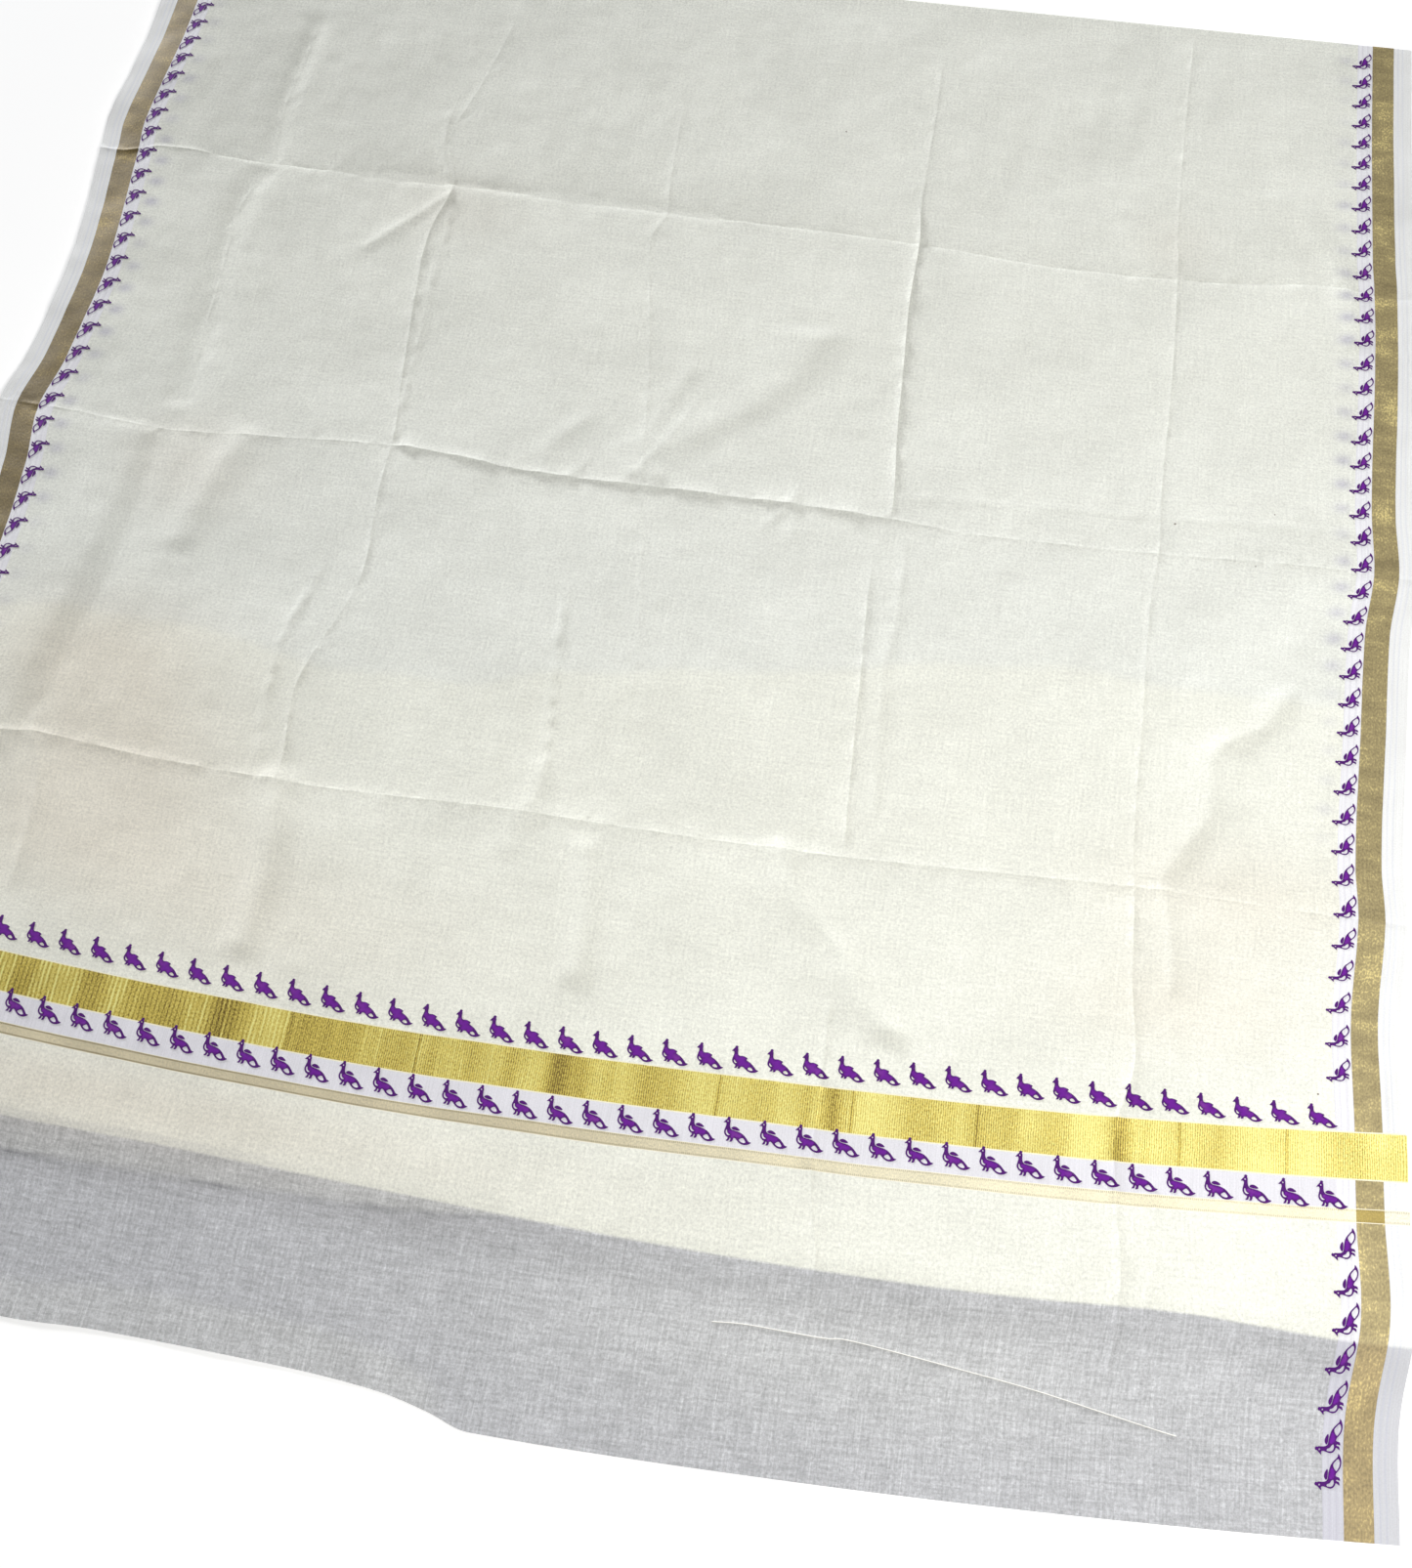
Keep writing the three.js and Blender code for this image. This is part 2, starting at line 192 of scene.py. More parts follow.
# Lines that the cloth was folded on, and soft folds, through plan places (x, y)
foldLines = {
    "third": ((-0.01, 1.013), (0.017, 1.012), (0.049, 1.022), (0.155, 1.015), (0.325, 1.013),
              (0.44, 1.009), (0.514, 1.007), (0.733, 1.0), (0.86, 0.99), (0.991, 0.992),
              (1.073, 1.001), (1.129, 0.995), (1.16, 0.995)),
    "second": ((-0.02, 0.729), (0.011, 0.729), (0.054, 0.727), (0.141, 0.719), (0.33, 0.728),
               (0.455, 0.719), (0.631, 0.717), (0.742, 0.714), (0.812, 0.709), (0.95, 0.711),
               (1.093, 0.717), (1.127, 0.714), (1.16, 0.714)),
    "secondTwin": ((0.742, 0.733), (0.747, 0.736), (0.963, 0.746), (1.078, 0.75), (1.12, 0.751)),
    "first": ((-0.01, 0.43), (0.094, 0.427), (0.121, 0.43), (0.212, 0.422), (0.343, 0.416),
              (0.493, 0.418), (0.581, 0.416), (0.755, 0.416), (0.946, 0.423), (1.098, 0.421),
              (1.119, 0.421), (1.16, 0.421)),
    "a": ((0.153, 1.183), (0.149, 1.107), (0.152, 1.018), (0.139, 0.959), (0.144, 0.844),
          (0.146, 0.76), (0.137, 0.718), (0.139, 0.669), (0.135, 0.574), (0.121, 0.49),
          (0.119, 0.434), (0.135, 0.398), (0.143, 0.326), (0.145, 0.286)),
    "b": ((0.334, 1.206), (0.314, 1.105), (0.306, 1.068), (0.321, 1.012), (0.312, 0.954),
          (0.316, 0.878), (0.325, 0.785), (0.331, 0.731), (0.332, 0.668), (0.336, 0.602),
          (0.31, 0.5), (0.315, 0.433), (0.325, 0.336), (0.325, 0.275)),
    "bLeft": ((0.301, 0.598), (0.289, 0.532), (0.292, 0.47), (0.297, 0.433)),
    "c": ((0.507, 1.131), (0.513, 1.007), (0.504, 0.969), (0.535, 0.764), (0.556, 0.625),
          (0.566, 0.503), (0.553, 0.41), (0.557, 0.387), (0.565, 0.349), (0.567, 0.28)),
    "cLeft": ((0.499, 0.608), (0.505, 0.53), (0.513, 0.445), (0.500, 0.40)),
    "d": ((0.732, 1.209), (0.731, 1.056), (0.734, 0.998), (0.733, 0.925), (0.737, 0.823),
          (0.743, 0.712), (0.734, 0.678), (0.737, 0.562), (0.742, 0.438), (0.748, 0.3),
          (0.751, 0.181), (0.762, 0.123)),
    "dRight": ((0.757, 0.70), (0.758, 0.636), (0.755, 0.565), (0.761, 0.457)),
    "e": ((0.955, 1.282), (0.952, 1.155), (0.953, 1.02), (0.954, 0.709), (0.953, 0.422),
          (0.956, 0.347), (0.961, 0.29), (0.951, 0.239), (0.96, 0.153), (0.958, 0.083)),
    "eRight": ((0.973, 0.429), (0.983, 0.351), (0.981, 0.2), (0.979, 0.143), (0.98, 0.087)),
    "bTwin": ((0.300, 1.09), (0.303, 1.054), (0.318, 1.012), (0.3265, 0.967), (0.3266, 0.897),
              (0.3298, 0.838), (0.3302, 0.781), (0.332, 0.74)),
    "rightSweep": ((1.059, 0.6), (1.038, 0.564), (1.003, 0.538), (1.004, 0.493), (0.986, 0.458),
                   (0.97, 0.429)),
    "middleSweep": ((0.698, 0.416), (0.714, 0.379), (0.75, 0.342), (0.768, 0.311), (0.792, 0.286)),
    "upperSweep": ((0.667, 0.89), (0.624, 0.817), (0.567, 0.769), (0.543, 0.741), (0.547, 0.722)),
    "shortSweep": ((0.56, 0.833), (0.545, 0.795), (0.532, 0.759)),
    "leftSweep": ((0.484, 0.777), (0.458, 0.744), (0.459, 0.729)),
    "rightArc": ((1.037, 1.092), (1.072, 1.047), (1.097, 0.996), (1.102, 0.944)),
    "leftSlant": ((0.32, 1.0), (0.29, 0.965), (0.26, 0.93)),
    "cornerSlant": ((0.21, 0.72), (0.19, 0.66), (0.18, 0.61)),
    "stripFold": ((1.0, 0.60), (1.02, 0.50), (1.018, 0.44)),
    "aRidge": ((0.120, 0.715), (0.118, 0.66), (0.110, 0.574), (0.097, 0.49), (0.090, 0.435)),
    "cSpur": ((0.572, 0.807), (0.556, 0.768), (0.528, 0.722)),
    "cShort": ((0.493, 0.737), (0.478, 0.716)),
    "dSpurLeft": ((0.664, 0.724), (0.646, 0.694)),
    "dSpurRight": ((0.664, 0.724), (0.668, 0.688)),
}

crossLines = ("third", "second", "secondTwin", "first")


def lineTable(name):
    points = np.array(foldLines[name])
    across, along = placeOnCloth(points[:, 0], points[:, 1])
    if name in crossLines:
        return {"at": across, "line": along}
    order = np.argsort(along)
    return {"at": along[order], "line": across[order]}


foldTables = {name: lineTable(name) for name in foldLines}

# Each fold's shape: the stretch of its line that it keeps to, its rise, and its reach on either
# side. A sharp one has the power 1, a soft one 2. Sides are left and right of a lengthwise line,
# and near and far of a cross line.
foldColumns = ("line", "span", "rise", "reach", "power")
folds = [dict(zip(foldColumns, row)) for row in (
    ("third", (-0.1, 0.1), 0.001, (0.004, 0.002), 1),
    ("third", (0.1, 1.3), -0.0007, (0.0026, 0.008), 1),
    ("third", (0.26, 0.56), -0.001, (0.0035, 0.014), 1.3),
    ("second", (-0.1, 0.36), 0.0006, (0.003, 0.0026), 1),
    ("second", (0.34, 0.75), 0.0021, (0.0026, 0.006), 1),
    ("second", (0.75, 1.3), 0.0006, (0.003, 0.0026), 1),
    ("secondTwin", (0.74, 1.12), 0.0007, (0.0028, 0.0018), 1),
    ("first", (-0.1, 0.28), 0.0004, (0.004, 0.0034), 1),
    ("first", (0.28, 0.75), 0.0008, (0.005, 0.003), 1),
    ("first", (0.75, 1.3), 0.0006, (0.004, 0.0034), 1),
    ("first", (-0.1, 0.26), 0.0008, (0.007, 0.004), 1.3),
    ("first", (0.44, 0.58), 0.0009, (0.016, 0.01), 2),
    ("first", (0.72, 1), 0.0005, (0.005, 0.006), 1.2),
    ("a", (1.01, 1.19), -0.0019, (0.012, 0.009), 1.8),
    ("a", (0.74, 1), -0.0023, (0.015, 0.012), 1.8),
    ("a", (0.74, 1.19), 0.0004, (0.0024, 0.003), 1),
    ("a", (0.42, 0.7), -0.001, (0.01, 0.011), 1.5),
    ("aRidge", (0.4, 0.71), 0.0024, (0.045, 0.012), 1.7),
    ("a", (0.29, 0.44), 0.0016, (0.005, 0.009), 1.5),
    ("b", (0.6, 1.03), 0.0008, (0.0026, 0.0018), 1),
    ("b", (1.03, 1.21), 0.0003, (0.0026, 0.0022), 1),
    ("b", (0.78, 0.98), 0.0005, (0.008, 0.005), 1.6),
    ("bTwin", (0.76, 1.09), 0.0008, (0.0028, 0.002), 1),
    ("b", (0.5, 0.62), 0.0003, (0.003, 0.002), 1),
    ("b", (0.42, 0.51), 0.001, (0.0022, 0.0026), 1),
    ("b", (0.27, 0.42), 0.0036, (0.014, 0.013), 2),
    ("bLeft", (0.43, 0.6), 0.0014, (0.0024, 0.0018), 1),
    ("c", (0.72, 1.13), 0.0004, (0.0028, 0.002), 1),
    ("c", (0.5, 0.72), 0.0003, (0.0028, 0.002), 1),
    ("c", (0.29, 0.4), 0.0028, (0.012, 0.01), 2),
    ("cLeft", (0.42, 0.61), 0.0016, (0.0022, 0.0018), 1),
    ("cLeft", (0.38, 0.46), 0.0014, (0.012, 0.012), 2),
    ("cSpur", (0.72, 0.81), 0.0009, (0.004, 0.003), 1.2),
    ("cShort", (0.71, 0.745), 0.0009, (0.004, 0.003), 1.2),
    ("dSpurLeft", (0.69, 0.73), 0.0012, (0.004, 0.003), 1.2),
    ("dSpurRight", (0.685, 0.73), 0.0012, (0.003, 0.003), 1.2),
    ("d", (0.72, 1.04), 0.002, (0.0034, 0.0014), 1),
    ("d", (1.04, 1.21), 0.0004, (0.0034, 0.002), 1),
    ("d", (0.43, 0.66), 0.0012, (0.003, 0.002), 1),
    ("d", (0.1, 0.3), 0.001, (0.003, 0.0024), 1),
    ("dRight", (0.45, 0.7), 0.0013, (0.0035, 0.0018), 1),
    ("e", (0.42, 1.02), 0.0007, (0.0028, 0.0018), 1),
    ("e", (1.02, 1.29), 0.0004, (0.0028, 0.002), 1),
    ("e", (0.08, 0.42), 0.0018, (0.003, 0.003), 1),
    ("eRight", (0.34, 0.43), 0.0022, (0.005, 0.005), 1.5),
    ("eRight", (0.08, 0.2), 0.0009, (0.003, 0.003), 1),
    ("rightSweep", (0.43, 0.6), 0.0028, (0.018, 0.009), 1.6),
    ("middleSweep", (0.28, 0.42), 0.0044, (0.02, 0.01), 1.6),
    ("upperSweep", (0.72, 0.89), 0.0026, (0.034, 0.02), 2),
    ("shortSweep", (0.75, 0.84), 0.001, (0.01, 0.008), 1.8),
    ("leftSweep", (0.725, 0.78), 0.0012, (0.01, 0.008), 1.8),
    ("rightArc", (0.94, 1.1), 0.002, (0.012, 0.016), 1.8),
    ("leftSlant", (0.92, 1), 0.0014, (0.006, 0.008), 1.5),
    ("cornerSlant", (0.6, 0.72), 0.0024, (0.014, 0.016), 1.8),
    ("stripFold", (0.43, 0.6), 0.0014, (0.018, 0.014), 2),
)]

unevenness = {
    "fade": 0.018,  # how soon a fold's ends die away
    "share": 0.5,  # of a sharp fold's rise
    "softShare": 0.12,
    "softStretch": 2.6,  # how much longer a soft fold's unevenness runs
    "lengths": (0.061, 0.023),
    "broadLength": 0.12,
    "broadHeight": 0.0007,
    "fineLength": 0.035,
    "fineHeight": 0.00015,
    "puckerLength": 0.010,
    "puckerHeight": 0.00016,
    "puckerReach": 0.018,
    "selvedgeLength": 0.05,
    "selvedgeHeight": 0.0005,
    "selvedgeReach": 0.03,
}


def foldDistance(name, across, along):
    # How far a place lies to the right of a lengthwise line, or beyond a cross line
    table = foldTables[name]
    if name in crossLines:
        return along - readTable(table, "line", across), across
    return across - readTable(table, "line", along), along


def foldHeight(across, along):
    height = np.zeros_like(across)
    nearest = np.full_like(across, 1.0)
    for number, fold in enumerate(folds):
        distance, way = foldDistance(fold["line"], across, along)
        reach = np.where(distance < 0, fold["reach"][0], fold["reach"][1])
        start, end = fold["span"]
        fade = unevenness["fade"]
        keeps = smooth((way - start) / fade + 0.5) * smooth((end - way) / fade + 0.5)
        soft = fold["power"] > 1.1
        run = way / unevenness["softStretch"] if soft else way
        long, short = unevenness["lengths"]
        wobble = np.sin(run / long * 6.3 + number) + 0.6 * np.sin(run / short * 6.3 + 2 * number)
        uneven = 1 + unevenness["softShare" if soft else "share"] * wobble / 1.6
        height += fold["rise"] * keeps * uneven * np.exp(-(np.abs(distance) / reach) ** fold["power"])
        if fold["power"] == 1.0:
            nearest = np.minimum(nearest, np.abs(distance) + (1 - keeps))
    pucker = ripple(across, along, 5, unevenness["puckerLength"]) * unevenness["puckerHeight"]
    return height + pucker * np.exp(-nearest / unevenness["puckerReach"])


def pileEdge(across):
    return readTable(pileNearEdges, "edge", across)


def cutEnd(across):
    return np.maximum(readTable(turnedFolds, "fold", across), 0.0)


def bandLine(name):
    return lambda across: readTable(bandPlaces, name, across)


def crossLine(name):
    return lambda across: readTable(foldTables[name], "line", across)


def longLine(name):
    return lambda along: readTable(foldTables[name], "line", along)


def level(value):
    return lambda place: np.full_like(place, value)


def panelPuff(across, along):
    puff = np.zeros_like(across)
    edges = [pileEdge, crossLine("first"), crossLine("second"), crossLine("third"),
             level(cloth["farFold"])]
    for low, high in zip(edges[:-1], edges[1:]):
        t = (along - low(across)) / (high(across) - low(across))
        inside = (t > 0) & (t < 1)
        puff = np.where(inside, cloth["puff"] * (1 - np.abs(2 * t - 1) ** 3), puff)
    return puff


def clothHeight(across, along):
    flat = np.minimum(along, cloth["farFold"])
    edge = pileEdge(across)
    reach = cloth["slopeFoot"] + cloth["slopeHead"]
    climb = smooth((flat - edge + cloth["slopeFoot"]) / reach)
    calm = 1 - smooth((flat - cloth["farFold"] + 0.03) / 0.03)
    broad = ripple(across, flat, 2, unevenness["broadLength"]) * unevenness["broadHeight"]
    fine = ripple(across, flat, 3, unevenness["fineLength"]) * unevenness["fineHeight"]
    inward = np.minimum(across, cloth["width"] - across)
    nearSelvedge = np.exp(-inward / unevenness["selvedgeReach"])
    wave = ripple(across * 0.3, flat, 4, unevenness["selvedgeLength"])
    rise = (panelPuff(across, flat) * smooth(inward / 0.04 + 0.3)
            + foldHeight(across, flat) + broad + fine
            + wave * nearSelvedge * unevenness["selvedgeHeight"])
    rest = cloth["flapRest"] + (cloth["pileRest"] - cloth["flapRest"]) * climb
    lowest = cloth["lowestOnFloor"] + (cloth["lowestOnPile"] - cloth["lowestOnFloor"]) * climb
    share = 0.45 + 0.55 * climb
    return np.maximum(rest + rise * share * calm, lowest)


def clothPoint(across, along):
    # The face of the cloth, turned down round the pile past its far fold
    x, y = planPoint(across, np.minimum(along, cloth["farFold"]))
    z = clothHeight(across, along)
    radius = cloth["turnRadius"]
    angle = np.maximum(along - cloth["farFold"], 0) / radius
    y = y + radius * np.sin(angle)
    z = z - radius * (1 - np.cos(angle))
    return x - cloth["originAcross"], y - cloth["originAlong"], z


# One grid for the whole cloth, closer along its folds, so that all pieces meet point to point
gridSpacing = {
    "fine": 0.0008,
    "coarse": 0.0033,
    "growth": 0.22,
    "fineRow": 0.0008,
    "coarseRow": 0.0034,
}


def spread(length, fine, coarse, fineStart, fineEnd):
    places = [0.0]
    while places[-1] < length:
        here = places[-1]
        reach = coarse
        if fineStart:
            reach = min(reach, fine + gridSpacing["growth"] * here)
        if fineEnd:
            reach = min(reach, fine + gridSpacing["growth"] * (length - here))
        places.append(here + max(reach, fine))
    return [place / places[-1] for place in places]


def between(low, high, share):
    return lambda place: low(place) * (1 - share) + high(place) * share


def gridLines(stops, fine, coarse):
    lines = [stops[0][1]]
    index = {stops[0][0]: 0}
    middle = np.array([0.6])
    for (_, low, lowFine), (name, high, highFine) in zip(stops[:-1], stops[1:]):
        length = float(high(middle)[0] - low(middle)[0])
        for share in spread(length, fine, coarse, lowFine, highFine)[1:]:
            lines.append(between(low, high, share))
        index[name] = len(lines) - 1
    return lines, index


width = cloth["width"]
columnStops = (
    ("left edge", level(0.0), False),
    ("left gold", level(cloth["goldStart"]), False),
    ("left strip", level(cloth["stripStart"]), False),
    ("left field", level(cloth["fieldStart"]), False),
    ("a", longLine("a"), True),
    ("b", longLine("b"), True),
    ("c", longLine("c"), True),
    ("d", longLine("d"), True),
    ("e", longLine("e"), True),
    ("right field", level(width - cloth["fieldStart"]), False),
    ("right strip", level(width - cloth["stripStart"]), False),
    ("right gold", level(width - cloth["goldStart"]), False),
    ("right edge", level(width), False),
)
turnedEnd = cloth["farFold"] + cloth["turnRadius"] * math.pi / 2
rowStops = (
    ("cut end", cutEnd, True),
    ("pile edge", pileEdge, True),
    ("narrow bottom", bandLine("narrowBottom"), False),
    ("narrow top", bandLine("narrowTop"), False),
    ("band bottom", bandLine("bandBottom"), False),
    ("band top", bandLine("bandTop"), False),
    ("first", crossLine("first"), True),
    ("second", crossLine("second"), True),
    ("third", crossLine("third"), True),
    ("far fold", level(cloth["farFold"]), True),
    ("turned end", level(turnedEnd), True),
)
columns, columnAt = gridLines(columnStops, gridSpacing["fine"], gridSpacing["coarse"])
rows, rowAt = gridLines(rowStops, gridSpacing["fineRow"], gridSpacing["coarseRow"])


def solveGrid():
    start = np.array([0.6])
    across = np.array([[float(column(start)[0]) for column in columns] for row in rows])
    for _ in range(5):
        along = np.array([row(across[number]) for number, row in enumerate(rows)])
        turned = [column(along[:, number]) for number, column in enumerate(columns)]
        across = np.array(turned).T
    return across, along


gridAcross, gridAlong = solveGrid()
gridX, gridY, gridZ = clothPoint(gridAcross, gridAlong)
print("cloth grid", gridAcross.shape)

# Tones that lie in the cloth: what backs it, faint marks, painted shade beside some creases and at the
# far left corner, and a painted pool of light on the flap
toneMarks = {
    "underEdge": {  # an under-layer's edge, just outside the pile's, at the left
        "at": (0.0, 0.197, 0.270, 0.3425, 0.414, 0.485, 0.554),
        "line": (0.104, 0.1070, 0.1104, 0.1128, 0.1156, 0.1185, 0.1237),
    },
    "underShare": 0.20,
    "underLine": 0.30,
    "flapPaintedLight": (0.78, 0.075, 0.26, 0.05, 0.16),  # a painted pool of light on the flap: across, along, their reaches, strength
    "farCornerPaintedShade": (0.0, 1.29, 0.34, 0.30, 0.13),  # painted shade at the far left corner, given the same way
    "underLineWidth": 0.0010,
    "thinStrip": 0.0055,  # a strip just inside the pile's edge where fewer layers lie
    "thinShare": 0.20,
    "turnedShare": 0.13,
    "shadeEdge": {  # a faint step in tone across the field
        "at": (0.0, 0.156, 0.244, 0.327, 0.419, 0.5, 0.66, 0.824, 0.935, 1.074, 1.15),
        "line": (0.52, 0.524, 0.524, 0.507, 0.514, 0.528, 0.556, 0.583, 0.588, 0.589, 0.59),
    },
    "shadeSoftness": 0.012,
    "creases": (  # painted shade beside creases: line, the stretch it darkens, how far past the line, its width and its strength
        ("second", (0.38, 0.75), -0.0022, 0.0020, 0.10),
        ("d", (0.73, 1.20), 0.0010, 0.0008, 0.10),
        ("third", (0.28, 0.56), 0.0060, 0.0060, 0.04),
    ),
    "blushes": (  # across, along, reach across, reach along, strength
        (0.15, 0.49, 0.09, 0.06, 1.0),
        (0.20, 0.41, 0.10, 0.06, 0.8),
        (0.17, 0.68, 0.06, 0.05, 0.5),
        (0.16, 0.34, 0.13, 0.06, 0.7),
        (0.32, 0.30, 0.16, 0.06, 0.5),
        (0.24, 0.15, 0.28, 0.03, 0.9),
        (0.33, 0.98, 0.06, 0.04, 0.3),
        (1.03, 0.42, 0.10, 0.05, 0.6),
        (1.00, 0.33, 0.09, 0.04, 0.6),
        (0.95, 1.03, 0.03, 0.03, 0.3),
    ),
    "ghostIn": 0.0575,  # how far in from the selvedge the shadow prints lie
    "ghostReach": (0.0065, 0.0050),
}

printPitch = 0.0246


def patch(spot, across, along):
    spotAcross, spotAlong, wide, long, strength = spot
    far = ((across - spotAcross) / wide) ** 2 + ((along - spotAlong) / long) ** 2
    return strength * np.exp(-far)


def clothTones(across, along):
    edge = pileEdge(across)
    backed = smooth((along - edge + 0.0012) / 0.0024)
    leftPart = smooth((0.58 - across) / 0.05)
    underEdge = readTable(toneMarks["underEdge"], "line", across)
    under = toneMarks["underShare"] * smooth((along - underEdge) / 0.003) * leftPart
    lineShape = np.exp(-((along - underEdge) / toneMarks["underLineWidth"]) ** 2)
    crease = lineShape * leftPart * (0.7 + 0.3 * ripple(across, across, 14, 0.05))
    crease = crease * toneMarks["underLine"]
    # Painted shade beside some creases
    for name, (start, end), past, wide, strength in toneMarks["creases"]:
        distance, way = foldDistance(name, across, along)
        keeps = smooth((way - start) / 0.03) * smooth((end - way) / 0.03)
        uneven = 0.75 + 0.25 * np.sin(way / 0.011) + 0.15 * np.sin(way / 0.0037)
        crease += strength * keeps * uneven * np.exp(-((distance - past) / wide) ** 2)
    thin = smooth((edge + toneMarks["thinStrip"] - along) / 0.0012 + 0.5)
    backed = backed * (1 - toneMarks["thinShare"] * thin * smooth((0.46 - across) / 0.15))
    inner = 2 * cutEnd(across) + 0.003
    turned = toneMarks["turnedShare"] * smooth((inner - along) / 0.008 + 1)
    turned = turned * smooth((0.55 - across) / 0.03)
    shadeEdge = readTable(toneMarks["shadeEdge"], "line", across)
    wander = 0.003 * ripple(across, along, 8, 0.12)
    shade = smooth((along - shadeEdge + wander) / toneMarks["shadeSoftness"])
    shade = shade * (1 - 0.45 * smooth((along - 0.62) / 0.3))
    blush = np.zeros_like(across)
    for spot in toneMarks["blushes"]:
        blush += patch(spot, across, along)
    inward = np.minimum(across, width - across)
    turn = (along / printPitch) % 1.0 - 0.5
    wide, long = toneMarks["ghostReach"]
    ghost = np.exp(-((inward - toneMarks["ghostIn"]) / wide) ** 2 - (turn * printPitch / long) ** 2)
    ghost = ghost * smooth((along - 0.43) / 0.1) * (0.6 + 0.4 * ripple(along, along, 9, 0.1))
    # A painted pool of light on the flap, carried in the backing tone
    paintedLight = patch(toneMarks["flapPaintedLight"], across, along)
    # Painted shade at the far left corner, carried in the crease tone
    crease += patch(toneMarks["farCornerPaintedShade"], across, along)
    return {
        "backingAndPaintedLight": np.maximum(backed, np.maximum(under, turned) + paintedLight),
        "crease": crease,
        "shade": shade,
        "blush": blush,
        "ghost": np.clip(ghost, 0, 1),
    }


gridTones = clothTones(gridAcross, gridAlong)

# Helpers that join up shader nodes


def feed(tree, target, value):
    if isinstance(value, bpy.types.NodeSocket):
        tree.links.new(value, target)
    else:
        target.default_value = value


def calc(tree, operation, *values):
    node = tree.nodes.new("ShaderNodeMath")
    node.operation = operation
    for number, value in enumerate(values):
        feed(tree, node.inputs[number], value)
    return node.outputs[0]


def mix(tree, amount, first, second, mode="MIX"):
    node = tree.nodes.new("ShaderNodeMix")
    node.data_type = "RGBA"
    node.blend_type = mode
    feed(tree, node.inputs["Factor"], amount)
    feed(tree, node.inputs[6], first)
    feed(tree, node.inputs[7], second)
    return node.outputs[2]


def times(tree, tone, shade, amount=1.0):
    return mix(tree, amount, tone, shade, "MULTIPLY")


def colour(red, green, blue):
    # A shade given as it looks on screen, from 0 to 255
    return tuple(((part / 255 + 0.055) / 1.055) ** 2.4 for part in (red, green, blue)) + (1.0,)


def fit(tree, value, low, high, start=0.0, end=1.0):
    node = tree.nodes.new("ShaderNodeMapRange")
    for number, part in enumerate((value, low, high, start, end)):
        feed(tree, node.inputs[number], part)
    return node.outputs[0]


def vary(tree, tone, pattern, low, high, start=0.3, end=0.7):
    # The tone, darker or lighter by the pattern
    return times(tree, tone, fit(tree, pattern, start, end, low, high))


def clothPlace(tree):
    node = tree.nodes.new("ShaderNodeUVMap")
    node.uv_map = "cloth"
    parts = tree.nodes.new("ShaderNodeSeparateXYZ")
    tree.links.new(node.outputs[0], parts.inputs[0])
    return node.outputs[0], parts.outputs[0], parts.outputs[1]


def stretch(tree, place, scales):
    node = tree.nodes.new("ShaderNodeMapping")
    feed(tree, node.inputs["Vector"], place)
    node.inputs["Scale"].default_value = scales
    return node.outputs[0]


def noise(tree, place, scale, detail=2.0, roughness=0.5, distortion=0.0):
    node = tree.nodes.new("ShaderNodeTexNoise")
    feed(tree, node.inputs["Vector"], place)
    node.inputs["Scale"].default_value = scale
    node.inputs["Detail"].default_value = detail
    node.inputs["Roughness"].default_value = roughness
    node.inputs["Distortion"].default_value = distortion
    return node.outputs[0]


def nearTo(tree, value, spot, reach, amount=1.0):
    # The amount at a spot, falling away to nothing at its reach
    away = calc(tree, "ABSOLUTE", calc(tree, "SUBTRACT", value, spot))
    return fit(tree, away, 0.0, reach, amount, 0.0)


def toneOf(tree, name):
    node = tree.nodes.new("ShaderNodeAttribute")
    node.attribute_name = name
    return node.outputs["Fac"]


def bump(tree, height, distance, strength=1.0, under=None):
    node = tree.nodes.new("ShaderNodeBump")
    node.inputs["Strength"].default_value = strength
    node.inputs["Distance"].default_value = distance
    feed(tree, node.inputs["Height"], height)
    if under is not None:
        feed(tree, node.inputs["Normal"], under)
    return node.outputs[0]


def startMaterial(name):
    material = bpy.data.materials.new(name)
    material.use_nodes = True
    tree = material.node_tree
    return material, tree, tree.nodes["Principled BSDF"]


def weave(tree, across, along, pitch):
    # Over and under of a plain weave
    turns = 2 * math.pi / pitch
    warp = calc(tree, "SINE", calc(tree, "MULTIPLY", across, turns))
    weft = calc(tree, "SINE", calc(tree, "MULTIPLY", along, turns))
    return calc(tree, "MULTIPLY", warp, weft)


def slubs(tree, place, seedShift):
    # Uneven threads both ways, from 0 to 1
    moved = tree.nodes.new("ShaderNodeMapping")
    feed(tree, moved.inputs["Vector"], place)
    moved.inputs["Location"].default_value = (seedShift, seedShift, 0)
    warp = noise(tree, stretch(tree, moved.outputs[0], (900, 16, 1)), 1.0, 2.0)
    weft = noise(tree, stretch(tree, moved.outputs[0], (16, 900, 1)), 1.0, 2.0)
    return warp, weft


# Cotton of the field, the pallu's end and the sheer flap
cottonLook = {
    "backed": colour(240, 241, 231),
    "single": colour(191, 192, 196),
    "shade": colour(250, 251, 254),
    "blush": colour(248, 242, 238),
    "ghost": colour(186, 184, 200),
    "speck": colour(120, 104, 96),
    "specks": ((0.9652, 0.7407, 0.0010), (0.6555, 1.1198, 0.0009), (1.0857, 0.2867, 0.0009),
               (1.0293, 0.7105, 0.0006), (1.0423, 0.76, 0.0007)),
    "threadPitch": 0.0005,
    "slubTone": 0.06,
    "grainScale": 480.0,
    "grainTone": 0.18,
    "streakTone": 0.03,
    "threadTone": 0.02,
    "mottleTone": 0.05,
    "roughness": 0.92,
}
sheerLook = {**cottonLook, "slubTone": 0.14, "grainTone": 0.24, "streakTone": 0.10, "threadTone": 0.12}


